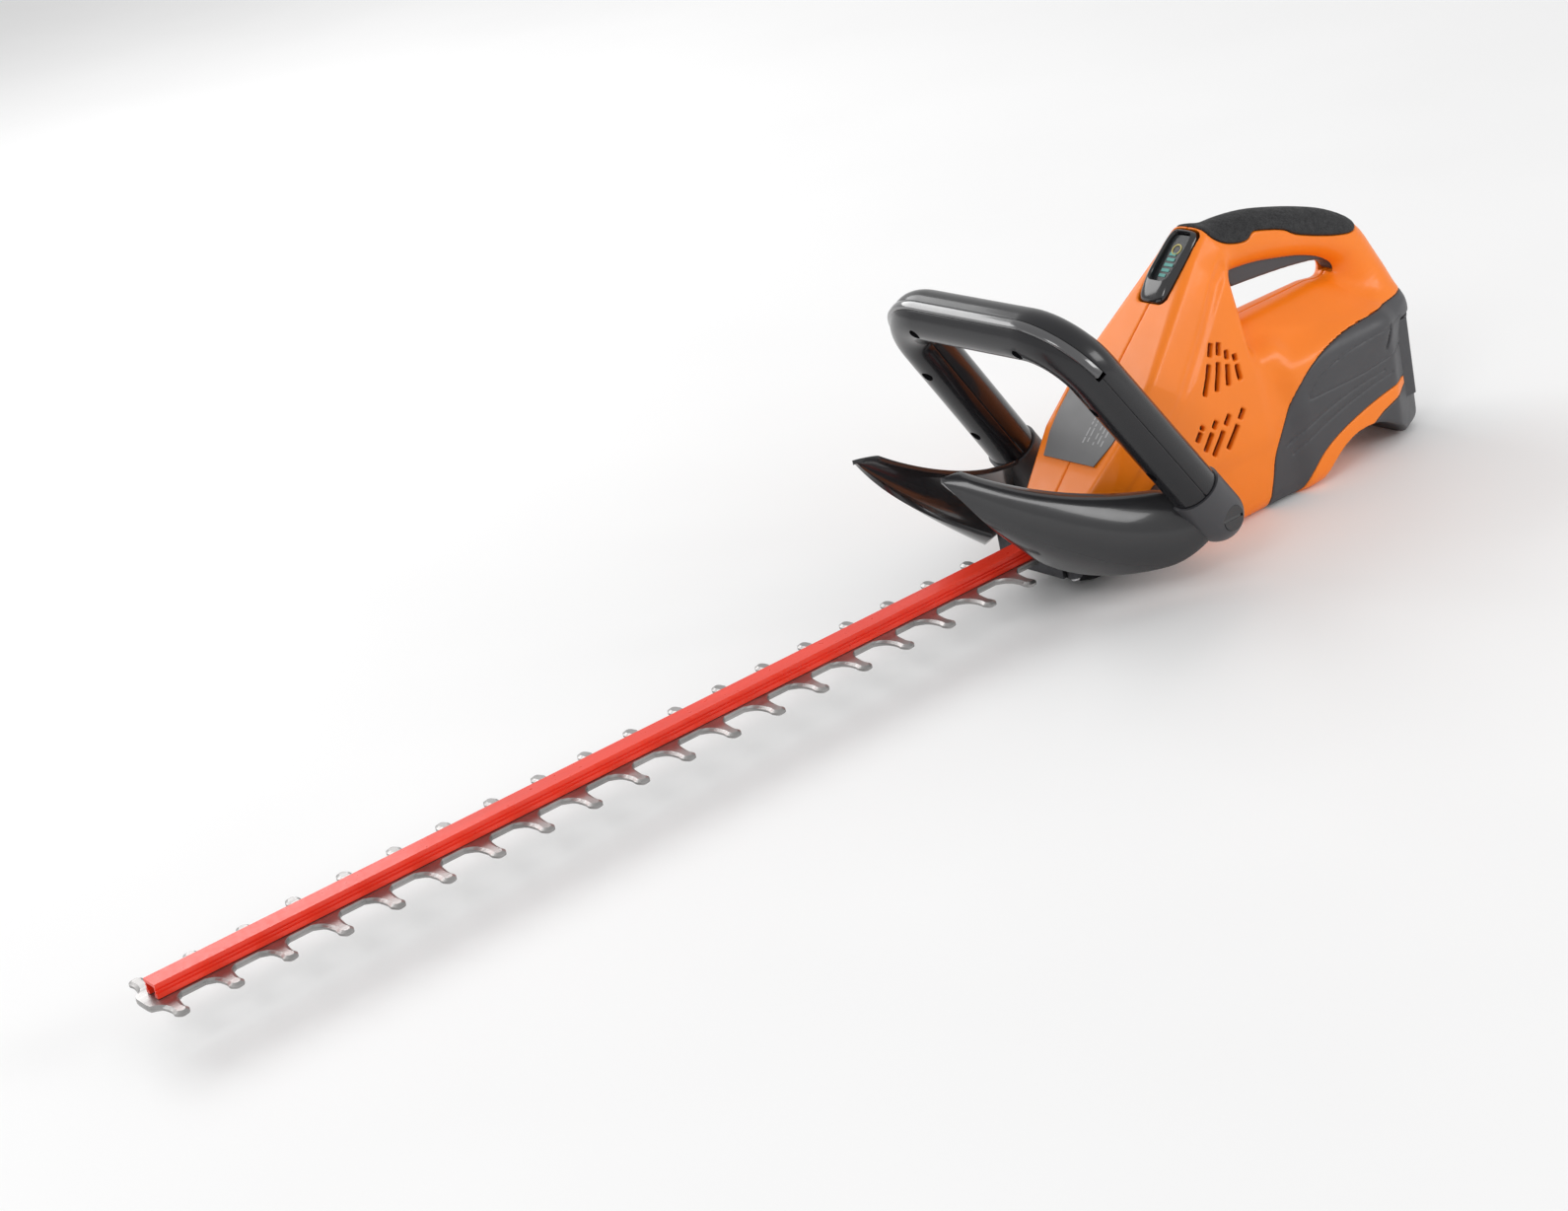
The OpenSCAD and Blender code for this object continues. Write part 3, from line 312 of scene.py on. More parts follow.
def dress_cad_nodes():
    """Gives each CAD node its slot's material, a dark one for the screws, and some nodes a small bevel that
    catches the light.
    """
    for entry in frame["record"]["subparts"]:
        node = frame["nodes"][entry["node"]]
        node.data.materials.clear()
        node.data.materials.append(MATERIALS[DARK_NODES.get(entry["node"], entry["material_slot"])])
        for polygon in node.data.polygons:
            polygon.material_index = 0
    bevels = {"rail": 0.35, "gear_case_upper": 0.8, "gear_case_lower": 0.8, "battery_latch": 1.2,
              "foot_caps": 0.8, "blade_bolts": 0.3, "motor_can": 0.8, "receiver_block": 0.8,
              "label_plate": 0.2}
    for name, width in bevels.items():
        add_bevel(frame["nodes"][name], width, 2)


def add_bevel(piece, width, segments):
    bevel = piece.modifiers.new("edges", "BEVEL")
    bevel.width = width * MM
    bevel.segments = segments
    bevel.limit_method = "ANGLE"
    bevel.angle_limit = math.radians(28)
    bevel.use_clamp_overlap = True
    bevel.harden_normals = False


# ---------------------------------------------------------------- meshes

def make_object(name, points, faces, slot_name, body, replaced=(), material=None, smooth=True):
    """A piece from points in millimetres; it rides on body and stands for the replaced nodes."""
    mesh = bpy.data.meshes.new(name)
    places = [tuple(p) for p in np.asarray(points) * MM]
    mesh.from_pydata(places, [], [tuple(int(i) for i in f) for f in faces])
    mesh.validate()
    piece = bpy.data.objects.new(name, mesh)
    bpy.context.scene.collection.objects.link(piece)
    finish_piece(piece, slot_name, body, replaced, material, smooth)
    return piece


def finish_piece(piece, slot_name, body, replaced=(), material=None, smooth=True):
    fix = bmesh.new()
    fix.from_mesh(piece.data)
    bmesh.ops.recalc_face_normals(fix, faces=fix.faces)
    fix.to_mesh(piece.data)
    fix.free()
    if smooth:
        piece.data.polygons.foreach_set("use_smooth", [True] * len(piece.data.polygons))
    piece.data.materials.append(MATERIALS[material or slot_name])
    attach(piece, body)
    if replaced:
        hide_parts(*replaced)


# ---------------------------------------------------------------- solid fields

STEP = 0.9
LOW = np.array([-318.0, -52.0, -6.0])
HIGH = np.array([32.0, 52.0, 210.0])
COUNT = np.ceil((HIGH - LOW) / STEP).astype(int) + 1
GX = (LOW[0] + STEP * np.arange(COUNT[0], dtype=np.float32))[:, None, None]
GY = (LOW[1] + STEP * np.arange(COUNT[1], dtype=np.float32))[None, :, None]
GZ = (LOW[2] + STEP * np.arange(COUNT[2], dtype=np.float32))[None, None, :]
BAND = 14


def ball_points(centre, radius):
    """Points spread over a ball by a golden spiral."""
    n = 260 if radius < 10 else 640
    k = np.arange(n) + 0.5
    polar = np.arccos(1 - 2 * k / n)
    turn = math.pi * (1 + math.sqrt(5)) * k
    unit = np.stack([np.cos(turn) * np.sin(polar), np.sin(turn) * np.sin(polar), np.cos(polar)], 1)
    return np.asarray(centre) + radius * unit


def hull_field(balls):
    """Distance field of the convex hull of balls, each (x, y, z, radius)."""
    cloud = np.concatenate([ball_points(b[:3], b[3]) for b in balls])
    work = bmesh.new()
    for p in cloud:
        work.verts.new(p)
    found = bmesh.ops.convex_hull(work, input=work.verts)
    spare = {v for key in ("geom_interior", "geom_unused") for v in found[key]
             if isinstance(v, bmesh.types.BMVert)}
    bmesh.ops.delete(work, geom=list(spare), context="VERTS")
    bmesh.ops.triangulate(work, faces=work.faces)
    work.verts.index_update()
    points = np.array([v.co for v in work.verts], np.float32)
    triangles = np.array([[v.index for v in f.verts] for f in work.faces], np.uint32)
    work.free()
    place = openvdb.createLinearTransform(voxelSize=STEP)
    grid = openvdb.FloatGrid.createLevelSetFromPolygons(
        (points - LOW).astype(np.float32), triangles=triangles, transform=place, halfWidth=BAND)
    dense = np.zeros(tuple(COUNT), np.float32)
    grid.copyToArray(dense)
    return dense


def mirrored(balls):
    return balls + [(x, -y, z, r) for x, y, z, r in balls]


def blend(a, b, k):
    """Union with a fillet of about k."""
    h = np.maximum(k - np.abs(a - b), 0) / k
    return np.minimum(a, b) - h * h * (k * 0.25)


def meet(a, b, k=0.0):
    """Intersection, with its edge rounded by about k."""
    if not k:
        return np.maximum(a, b)
    h = np.maximum(k - np.abs(a - b), 0) / k
    return np.maximum(a, b) + h * h * (k * 0.25)


def catmull(points, steps):
    """A smooth curve through the points."""
    pts = [np.asarray(p, float) for p in points]
    n = len(pts)
    out = []
    for i in range(n - 1):
        a, b, c, d = pts[max(i - 1, 0)], pts[i], pts[i + 1], pts[min(i + 2, n - 1)]
        for k in range(steps):
            t = k / steps
            out.append(0.5 * (2 * b + (c - a) * t + (2 * a - 5 * b + 4 * c - d) * t * t
                              + (3 * b - a - 3 * c + d) * t ** 3))
    out.append(pts[-1])
    return np.array(out)


def trimmed_corners(outline, rounds=2):
    """Cuts each corner of a closed outline, so that it becomes a curve."""
    pts = np.asarray(outline, float)
    for _ in range(rounds):
        after = np.roll(pts, -1, axis=0)
        pts = np.stack([pts * 0.75 + after * 0.25, pts * 0.25 + after * 0.75], 1).reshape(-1, 2)
    return pts


def outline_field(outline):
    """Signed distance to a closed outline in the XZ plane, as wide as the grid in Y."""
    x, z = np.meshgrid(GX.ravel(), GZ.ravel(), indexing="ij")
    best = np.full(x.shape, 1e9)
    inside = np.zeros(x.shape, bool)
    pts = np.asarray(outline, float)
    for a, b in zip(pts, np.roll(pts, -1, axis=0)):
        ex, ez = b - a
        wx, wz = x - a[0], z - a[1]
        t = np.clip((wx * ex + wz * ez) / (ex * ex + ez * ez), 0, 1)
        best = np.minimum(best, (wx - ex * t) ** 2 + (wz - ez * t) ** 2)
        crosses = (a[1] > z) != (b[1] > z)
        if ez:
            inside ^= crosses & (x < ex * (z - a[1]) / ez + a[0])
    field = np.sqrt(best) * np.where(inside, -1, 1)
    return field.astype(np.float32)[:, None, :]


def path_field(points):
    """Distance to an open path in the XZ plane."""
    x, z = np.meshgrid(GX.ravel(), GZ.ravel(), indexing="ij")
    best = np.full(x.shape, 1e9)
    for a, b in zip(points[:-1], points[1:]):
        ex, ez = b[0] - a[0], b[1] - a[1]
        wx, wz = x - a[0], z - a[1]
        t = np.clip((wx * ex + wz * ez) / (ex * ex + ez * ez), 0, 1)
        best = np.minimum(best, (wx - ex * t) ** 2 + (wz - ez * t) ** 2)
    return np.sqrt(best).astype(np.float32)[:, None, :]


def box_field(low, high):
    dx = np.maximum(low[0] - GX, GX - high[0])
    dy = np.maximum(low[1] - GY, GY - high[1])
    dz = np.maximum(low[2] - GZ, GZ - high[2])
    return np.maximum(np.maximum(dx, dy), dz)


def rod_field(x, z, radius):
    """A rod along Y."""
    return np.sqrt((GX - x) ** 2 + (GZ - z) ** 2) - radius


def tube_field(points):
    """Distance to a chain of balls in the XZ plane at Y 0, each (x, z, radius, width over height)."""
    x, y, z = np.broadcast_arrays(GX, GY, GZ)
    low = min(p[0] for p in points) - 40
    high = max(p[0] for p in points) + 40
    base = min(p[1] for p in points) - 40
    take = (slice(max(0, int((low - LOW[0]) / STEP)), int((high - LOW[0]) / STEP)), slice(None),
            slice(max(0, int((base - LOW[2]) / STEP)), COUNT[2]))
    xs, ys, zs = x[take], y[take], z[take]
    best = np.full(xs.shape, float(BAND * STEP), np.float32)
    for a, b in zip(points[:-1], points[1:]):
        ex, ez = b[0] - a[0], b[1] - a[1]
        t = np.clip(((xs - a[0]) * ex + (zs - a[1]) * ez) / (ex * ex + ez * ez + 1e-9), 0, 1)
        width = a[3] + (b[3] - a[3]) * t
        far = np.sqrt((xs - a[0] - ex * t) ** 2 + (zs - a[1] - ez * t) ** 2 + (ys / width) ** 2)
        best = np.minimum(best, far - (a[2] + (b[2] - a[2]) * t))
    field = np.full(x.shape, float(BAND * STEP), np.float32)
    field[take] = best
    return field


def field_object(name, field, slot_name, body, replaced=(), material=None, relax=2):
    """The surface where the field is zero, as a closed mesh."""
    outside = 3 * STEP
    shell = np.clip(field, -outside, outside).astype(np.float32)
    for axis in range(3):
        edge = [slice(None)] * 3
        for end in (0, -1):
            edge[axis] = end
            shell[tuple(edge)] = outside
    near = shell < outside
    used = [np.flatnonzero(near.any(axis=tuple(a for a in range(3) if a != axis))) for axis in range(3)]
    low = [max(int(u[0]) - 1, 0) for u in used]
    high = [int(u[-1]) + 2 for u in used]
    part = np.ascontiguousarray(shell[low[0]:high[0], low[1]:high[1], low[2]:high[2]])
    grid = openvdb.FloatGrid(outside)
    grid.copyFromArray(part)
    points, triangles, quads = grid.convertToPolygons(isovalue=0.0, adaptivity=0.0)
    points = points * STEP + LOW + np.array(low) * STEP
    faces = [tuple(f) for f in quads.tolist()] + [tuple(f) for f in triangles.tolist()]
    piece = make_object(name, points, faces, slot_name, body, replaced, material)
    if relax:
        smooth = piece.modifiers.new("relax", "SMOOTH")
        smooth.factor = 0.5
        smooth.iterations = relax
        bake_modifiers(piece)
    return piece


def bake_modifiers(piece):
    """Turns a piece's modifiers into its mesh."""
    bpy.context.view_layer.update()
    graph = bpy.context.evaluated_depsgraph_get()
    mesh = bpy.data.meshes.new_from_object(piece.evaluated_get(graph))
    old = piece.data
    piece.modifiers.clear()
    piece.data = mesh
    bpy.data.meshes.remove(old)


# ---------------------------------------------------------------- housing

FACE_TILT = math.radians(40.2)
FACE_FOOT = (20.0, 66.7)
PYLON = mirrored([
    (14.5, 27, 62.2, 3.5), (-20, 35.5, 94.4, 4.5), (-54, 34.0, 123.4, 5), (-98, 20.5, 160.8, 5.5),
    (-140, 10, 196.5, 5.5), (3, 33, 52, 5), (-36, 38.5, 84, 5), (-68, 36.8, 112, 6),
    (-108, 24.5, 148, 7), (-144, 12, 184, 8),
    (-52, 35, 55, 7), (-141, 31.5, 55, 9), (-141, 28, 112, 9), (-141, 15, 150, 9)])
MOTOR_BAY = mirrored([
    (-60, 31, 11, 11), (-60, 31, 58, 11), (-172, 31, 11, 11), (-172, 32, 60, 11), (-66, 28, 92, 10),
    (-168, 26, 100, 12)])
BATTERY_BAY = mirrored([
    (-184, 34, 12, 12), (-184, 34.5, 60, 12), (-182, 31, 86, 12), (-270, 34.5, 12, 12), (-270, 34.5, 90, 12),
    (-299, 20, 12, 12), (-299, 20, 88, 12)])
DECK = mirrored([
    (-160, 6, 112, 17), (-178, 30, 88, 14), (-262, 33, 90, 13), (-296, 14, 92, 15), (-290, 4, 106, 16),
    (-240, 3, 114, 16)])
HANDLE = [(-146, 182, 18, 0.9), (-166, 182.5, 17.5, 1.0), (-190, 180, 17.2, 1.04), (-214, 174.5, 16.6, 1.04),
          (-238, 167.5, 16.0, 1.0), (-260, 158.5, 16.2, 1.0), (-277, 146, 17.5, 1.0), (-285, 130, 19, 1.04),
          (-291, 112, 21, 1.1), (-294, 96, 22, 1.25)]

GRIP = [(-138, 216), (-141.5, 199), (-150, 191.5), (-161, 186.5), (-175, 184), (-181, 188.5),
        (-187, 188), (-212, 180.5), (-220, 173.8), (-243, 165), (-262, 159), (-279, 155.5), (-288, 158),
        (-290, 164), (-284, 172), (-262, 192), (-200, 216)]
PANEL = [(-332, 104), (-289, 103.5), (-247, 102.5), (-217, 98.5), (-196, 92), (-182, 83), (-170, 69),
         (-158, 50), (-149, 36), (-146.5, 23), (-136, -4), (-168, -4), (-180, 14), (-203, 30),
         (-245, 42), (-288, 48), (-332, 50)]
ARCH = [(-190, -8), (-192, 3), (-206, 16), (-222, 24.5), (-238, 27), (-254, 24.5), (-272, 15),
        (-286, 5), (-292, -8)]
BATTERY_SPACE = ((-340, -38.8, 27.7), (-193.2, 38.8, 87.8))
TAIL = [(-206, -8), (-214, 6), (-232, 19), (-256, 31), (-284, 39.5), (-335, 46), (-335, -8)]
SLOTS = [(-113, 133, -94, 102), (-120, 131, -106, 101), (-125, 124, -118, 101), (-131, 119, -130, 101),
         (-87, 83, -79, 74), (-100, 82, -85, 65), (-113, 82, -92, 59), (-127, 81, -106, 59)]
SLOT_HALF = 2.2
SKIN = 2.4
WALL = 4.4
GAP = 0.3
FOOT_XZ = (-41.0, 45.5)
SCREWS = [(-62, 14), (-140, 14), (-182, 97), (-100, 108), (-150, 150), (-292, 128), (-155, 192)]


def chain_field(points, radius):
    """Distance to a rod along a chain of points and to its mirror image."""
    best = None
    for a, b in zip(points[:-1], points[1:]):
        a, b = np.array(a, np.float32), np.array(b, np.float32)
        run = b - a
        px, py, pz = GX - a[0], np.abs(GY) - a[1], GZ - a[2]
        t = np.clip((px * run[0] + py * run[1] + pz * run[2]) / float(run @ run), 0, 1)
        far = np.sqrt((px - run[0] * t) ** 2 + (py - run[1] * t) ** 2 + (pz - run[2] * t) ** 2) - radius
        best = far if best is None else np.minimum(best, far)
    return best


CREASE_R = 9.0
CREASE_DEEP = 1.5
CREASE = [(5, 38.5, 50), (-36, 44.0, 84), (-68, 43.5, 112), (-108, 32.5, 149), (-140, 21.0, 181)]


def crease_field():
    """A shallow hollow beside the front face, from the foot to the handle."""
    lift = CREASE_R - CREASE_DEEP
    return chain_field([(x - 4, y + lift, z - 4) for x, y, z in CREASE], CREASE_R)


def softened(field, passes):
    """Evens out a field's small ripples."""
    for _ in range(passes):
        for axis in range(3):
            low = [slice(None)] * 3
            mid = [slice(None)] * 3
            high = [slice(None)] * 3
            low[axis], mid[axis], high[axis] = slice(0, -2), slice(1, -1), slice(2, None)
            field = field.copy()
            field[tuple(mid)] = (field[tuple(low)] + 2 * field[tuple(mid)] + field[tuple(high)]) / 4
    return field


def body_field():
    lower = blend(softened(hull_field(MOTOR_BAY), 3), hull_field(PYLON), 9)
    rear = softened(blend(hull_field(BATTERY_BAY), hull_field(DECK), 12), 6)
    shape = blend(lower, rear, 10)
    shape = meet(shape, -crease_field(), 1.2)
    line = catmull(HANDLE, 4)
    return blend(shape, tube_field(line), 15)


def face_frame(along, across, out):
    """A point on the front face: millimetres up the face, across it (+Y) and out of it."""
    return (FACE_FOOT[0] - along * math.cos(FACE_TILT) + out * math.sin(FACE_TILT), across,
            FACE_FOOT[1] + along * math.sin(FACE_TILT) + out * math.cos(FACE_TILT))


def face_coordinates():
    """The grid's distance up the front face and out of it."""
    dx, dz = GX - FACE_FOOT[0], GZ - FACE_FOOT[1]
    along = -dx * math.cos(FACE_TILT) + dz * math.sin(FACE_TILT)
    out = dx * math.sin(FACE_TILT) + dz * math.cos(FACE_TILT)
    return along, out


LABEL = [(26, 25), (44, 31), (60, 33), (86, 33)]
DISPLAY_S = 180
DISPLAY_L = 58
DISPLAY_W = 27
DISPLAY_CORNER = 5


def slots_field():
    """The air slots: slanted columns, each in two lengths."""
    found = None
    for x1, z1, x0, z0 in SLOTS:
        length = math.hypot(x1 - x0, z1 - z0)
        ux, uz = (x1 - x0) / length, (z1 - z0) / length
        run = (GX - x0) * ux + (GZ - z0) * uz
        side = np.abs((GX - x0) * uz - (GZ - z0) * ux) - SLOT_HALF
        for start, stop in ((0, 0.6), (0.74, 1)):
            piece = np.maximum(side, np.maximum(start * length - run, run - stop * length))
            found = piece if found is None else np.minimum(found, piece)
    return found


def label_field(grow):
    along, out = face_coordinates()
    half = np.interp(along, [p[0] for p in LABEL], [p[1] for p in LABEL]).astype(np.float32)
    flat = np.maximum(np.maximum(LABEL[0][0] - along, along - LABEL[-1][0]), np.abs(GY) - half) - grow
    return np.maximum(flat, -0.8 - out)


def display_field(grow):
    along, out = face_coordinates()
    u = np.maximum(np.abs(along - DISPLAY_S) - DISPLAY_L / 2 + DISPLAY_CORNER, 0)
    v = np.maximum(np.abs(GY) - DISPLAY_W / 2 + DISPLAY_CORNER, 0)
    return np.maximum(np.sqrt(u * u + v * v) - DISPLAY_CORNER - grow, -9 - grow - out)


LEVER = [(-163, 167.5), (-190, 165), (-218, 160.5), (-241, 155.5), (-255, 156), (-262, 158), (-268, 153),
         (-268.5, 132), (-265, 131), (-260, 139), (-250, 143.5), (-230, 146.5), (-211, 148.6), (-177, 151.2),
         (-163.5, 151.8)]
PIVOT = (-262.0, 152.0)
PIN_HOLE = 2.05
LEVER_HALF = 6
LEVER_GAP = 0.7
PARTING = 0.12                       # half the gap between two shells
VENT_SPACE = ((-146, -60, 50), (-52, 60, 140))
GEAR_SPACE = ((-49, -45, 15), (60, 45, 47.4))
SOCKET_R, SOCKET_IN = 13.3, 39.5      # the room for each foot of the front handle


def turned_outline(outline, degrees):
    c, s = math.cos(math.radians(degrees)), math.sin(math.radians(degrees))
    return [(PIVOT[0] + (x - PIVOT[0]) * c - (z - PIVOT[1]) * s,
             PIVOT[1] + (x - PIVOT[0]) * s + (z - PIVOT[1]) * c) for x, z in outline]


def build_housing():
    body = body_field()
    grip_zone = outline_field(trimmed_corners(GRIP))
    panel_zone = outline_field(trimmed_corners(PANEL))
    tail_zone = outline_field(TAIL)
    lever_path = np.minimum(outline_field(LEVER), outline_field(turned_outline(LEVER, 3.2)))
    lever_path = np.minimum(lever_path, outline_field(turned_outline(LEVER, 6.5))) - LEVER_GAP

    arch = outline_field(trimmed_corners(ARCH))
    shell = meet(body, -np.maximum(grip_zone - GAP / 2, -(body + SKIN)), 0.6)
    shell = meet(shell, -np.maximum(panel_zone - GAP / 2, -(body + SKIN)), 0.6)
    hollow = np.maximum(body + WALL, box_field(*VENT_SPACE))
    cut = np.minimum(hollow, np.maximum(slots_field(), -(body + 9)))
    cut = np.minimum(cut, box_field(*BATTERY_SPACE))
    cut = np.minimum(cut, tail_zone - 0.3)
    cut = np.minimum(cut, arch)
    cut = np.minimum(cut, box_field(*GEAR_SPACE))
    cut = np.minimum(cut, np.maximum(lever_path, np.abs(GY) - LEVER_HALF - LEVER_GAP))
    cut = np.minimum(cut, display_field(0.3))
    cut = np.minimum(cut, label_field(0.25))
    arms = np.maximum(rod_field(*FOOT_XZ, SOCKET_R), SOCKET_IN - np.abs(GY))
    cut = np.minimum(cut, arms)
    shell = meet(shell, -cut, 0.8)
    right_holes = None
    for x, z in SCREWS:
        hole = np.maximum(rod_field(x, z, 3.3), -(body + 6))
        right_holes = hole if right_holes is None else np.minimum(right_holes, hole)
    left = meet(shell, PARTING - GY, 0.5)
    right = meet(meet(shell, PARTING + GY, 0.5), -right_holes, 0.5)
    field_object("orange_shell_left", left, "orange_shell", "body", ["housing_left"])
    field_object("orange_shell_right", right, "orange_shell", "body", ["housing_right"])

    proud = np.maximum(body - 0.7, -(body + SKIN - 0.1))
    grip = meet(proud, grip_zone + GAP / 2, 1.6)
    field_object("grip_skin", grip, "soft_grip", "body", ["grip_overmold"], relax=1)
    build_panels(body, panel_zone, tail_zone)
    build_battery(body, tail_zone, arch)
    lever = meet(outline_field(trimmed_corners(LEVER, 1)), np.abs(GY) - LEVER_HALF, 2.5)
    lever = meet(lever, -rod_field(*PIVOT, PIN_HOLE))
    field_object("trigger_lever", lever, "grey_panel", "rear_trigger", ["rear_trigger"])


SWAGE = [(-186, 66), (-192, 74), (-206, 82), (-228, 87.5), (-262, 90.5), (-292, 91)]
SWAGE_LOW = [(-186, 66), (-204, 66), (-238, 66), (-270, 69), (-292, 73)]
RIDGE = [(-162, 40), (-180, 47), (-206, 54), (-236, 59), (-262, 61)]
RIDGE_LOW = [(-166, 32), (-186, 40), (-212, 47.5), (-244, 54), (-270, 57)]
NOTCH = [(-273.5, 91), (-266.5, 76)]


def build_panels(body, panel_zone, tail_zone):
    space = box_field(*BATTERY_SPACE)
    skin = np.maximum(body, -(body + SKIN - 0.1))
    skin = meet(skin, panel_zone + GAP / 2, 0.8)
    skin = np.maximum(np.maximum(skin, -(tail_zone - 0.4)), -space)
    lines = np.minimum(path_field(catmull(SWAGE, 5)), path_field(catmull(SWAGE_LOW, 5))) - 0.55
    ridges = np.minimum(path_field(catmull(RIDGE, 5)), path_field(catmull(RIDGE_LOW, 5))) - 0.8
    notch = path_field(NOTCH) - 1.3
    carved = np.minimum(np.maximum(lines, -(body + 0.7)), np.maximum(ridges, -(body + 0.6)))
    carved = np.minimum(carved, np.maximum(notch, -(body + 1.5)))
    skin = meet(skin, -carved, 0.5)
    for side, name in ((1, "left"), (-1, "right")):
        panel = np.maximum(skin, 4 - side * GY)
        field_object(f"panel_{name}", panel, "grey_panel", "body", [f"side_panel_{name}"], relax=1)


def build_battery(body, tail_zone, arch):
    block = box_field((-300, -38, 28.5), (-196, 38, 87))
    rear = box_field((-335, -36, 3), (-299, 36, 86))
    tail = np.maximum(body + 0.5, np.minimum(tail_zone + 0.3, rear))
    case = meet(np.minimum(block, tail), -arch, 1.2)
    pocket = box_field((-330, -17, 72), (-299, 17, 84))
    contacts = box_field((-230, -22, 74), (-190, 22, 90))
    inside = box_field((-298.5, -35.4, 30.6), (-202.5, 35.4, 71))
    case = meet(meet(meet(case, -pocket, 1), -contacts, 1), -inside)
    field_object("battery_casing", case, "grey_panel", "battery", ["battery_case"], relax=1)


# ---------------------------------------------------------------- display and label

CHIN = 12.0
CHIN_LIFT = 2.2


def build_display():
    """A glossy frame with a raised rim round the window, and generic signs under the window."""
    rings = [(0.0, -9.0, 0), (0.0, 0.5, 0), (0.35, 2.0, 0), (1.2, 3.1, 0.15), (2.2, 4.2, 0.8), (3.2, 4.4, 1),
             (4.2, 3.4, 1), (4.6, 1.4, 1), (4.8, -7.4, 1)]
    sides = 64
    points, faces = [], []
    for inset, out, chin in rings:
        for k in range(sides):
            across, along = rounded_rectangle(k / sides, DISPLAY_W / 2 - inset, DISPLAY_L / 2 - inset,
                                              5.5 - inset * 0.6)
            raised = chin * max(0.0, 0.5 - along / DISPLAY_L)
            lift = CHIN_LIFT * raised * (out > 1)
            points.append(face_frame(DISPLAY_S + along + CHIN * raised, across, out + lift))
    for r in range(len(rings) - 1):
        for k in range(sides):
            a, b = r * sides + k, r * sides + (k + 1) % sides
            faces.append((a, b, b + sides, a + sides))
    last = (len(rings) - 1) * sides
    for base, flip in ((0, True), (last, False)):
        points.append(face_frame(DISPLAY_S, 0, rings[0 if base == 0 else -1][1]))
        for k in range(sides):
            tri = (base + k, base + (k + 1) % sides, len(points) - 1)
            faces.append(tri[::-1] if flip else tri)
    bezel = make_object("display_frame", points, faces, "gloss_black", "body", ["display_bezel"])
    bezel.data.set_sharp_from_angle(angle=math.radians(50))
    ring_points, ring_faces = [], []
    for k in range(40):
        turn = 2 * math.pi * k / 40
        for r, out in ((4.2, 1.5), (3.3, 1.5), (3.3, 1.75), (4.2, 1.75)):
            ring_points.append(face_frame(DISPLAY_S + 13 + r * math.cos(turn), r * math.sin(turn), out))
        for j in range(4):
            a, b = 4 * k + j, 4 * k + (j + 1) % 4
            ring_faces.append((a, b, (b + 4) % 160, (a + 4) % 160))
    make_object("sign_ring", ring_points, ring_faces, "window", "body", material="icon_yellow", smooth=False)
    bars = [(DISPLAY_S - 9 + 4.2 * k, -4.2, 4.2 - 1.1 * abs(k - 2)) for k in range(5)]
    plates = [(s, s + 2.4, left, right) for s, left, right in bars]
    make_plates("sign_bars", plates, 1.5, 1.75, "window", "icon_teal")


def rounded_rectangle(turn, half_w, half_l, corner):
    """A point on a rounded rectangle's edge, and turn from 0 to 1 goes once round it."""
    angle = 2 * math.pi * turn
    c, s = math.cos(angle), math.sin(angle)
    power = 0.42
    across = math.copysign(abs(c) ** power, c)
    along = math.copysign(abs(s) ** power, s)
    x, y = across * half_w, along * half_l
    excess_x, excess_y = abs(x) - (half_w - corner), abs(y) - (half_l - corner)
    if excess_x > 0 and excess_y > 0:
        reach = math.hypot(excess_x, excess_y)
        if reach > corner:
            x = math.copysign(half_w - corner + excess_x * corner / reach, x)
            y = math.copysign(half_l - corner + excess_y * corner / reach, y)
    return x, y


def make_plates(name, plates, low, high, slot_name, material):
    """Thin plates on the front face, each (s0, s1, y0, y1)."""
    points, faces = [], []
    for s0, s1, y0, y1 in plates:
        base = len(points)
        for out in (low, high):
            for s, y in ((s0, y0), (s1, y0), (s1, y1), (s0, y1)):
                points.append(face_frame(s, y, out))
        faces += [(base, base + 1, base + 2, base + 3), (base + 4, base + 7, base + 6, base + 5)]
        faces += [(base + k, base + 4 + k, base + 4 + (k + 1) % 4, base + (k + 1) % 4) for k in range(4)]
    return make_object(name, points, faces, slot_name, "body", material=material, smooth=False)


def build_label_lines():
    """Generic pale dashes on the label, like a rating plate's rows."""
    dashes = []
    for column, y in enumerate((4, 8, 14, 18, 22)):
        s = 41.0 + 1.5 * (column % 2)
        while s < 80:
            length = random.choice((2.2, 3.4, 4.6, 6.5))
            dashes.append((s, min(s + length, 82), y, y + 1.1))
            s += length + random.choice((1.0, 1.4, 2.4))
    make_plates("label_dashes", dashes, 0.05, 0.28, "label", "print_grey")


# ---------------------------------------------------------------- teeth

TOOTH = [(10.5, 0), (6.6, 0.17), (5, 0.42), (4.3, 0.64), (4.9, 0.82), (3.4, 0.95), (1.2, 1)]
TOOTH_BACK = 0.94
WEB_HALF, SHORT_REACH = 9.2, 33.0
FIRST_TOOTH, TOOTH_PITCH, TOOTH_COUNT, SHORT_TEETH = 725.0, 36.0, 19, 3
GRIND, LAND = 2.1, 0.7


def tooth_rings(reach):
    """One tooth's full outline and its ground outline, about its middle, with Y outward from the web."""
    depth = reach - WEB_HALF
    half = [(x, WEB_HALF + y * depth) for x, y in TOOTH]
    full = catmull(half + [(-x * TOOTH_BACK, y) for x, y in reversed(half)], 3)
    along = np.gradient(full, axis=0)
    out = np.stack([along[:, 1], -along[:, 0]], 1)
    out /= np.linalg.norm(out, axis=1)[:, None]
    away = np.clip((full[:, 1] - WEB_HALF) / (0.35 * depth), 0, 1)
    return full, full - out * np.sign(out[0, 0]) * (GRIND * away)[:, None]


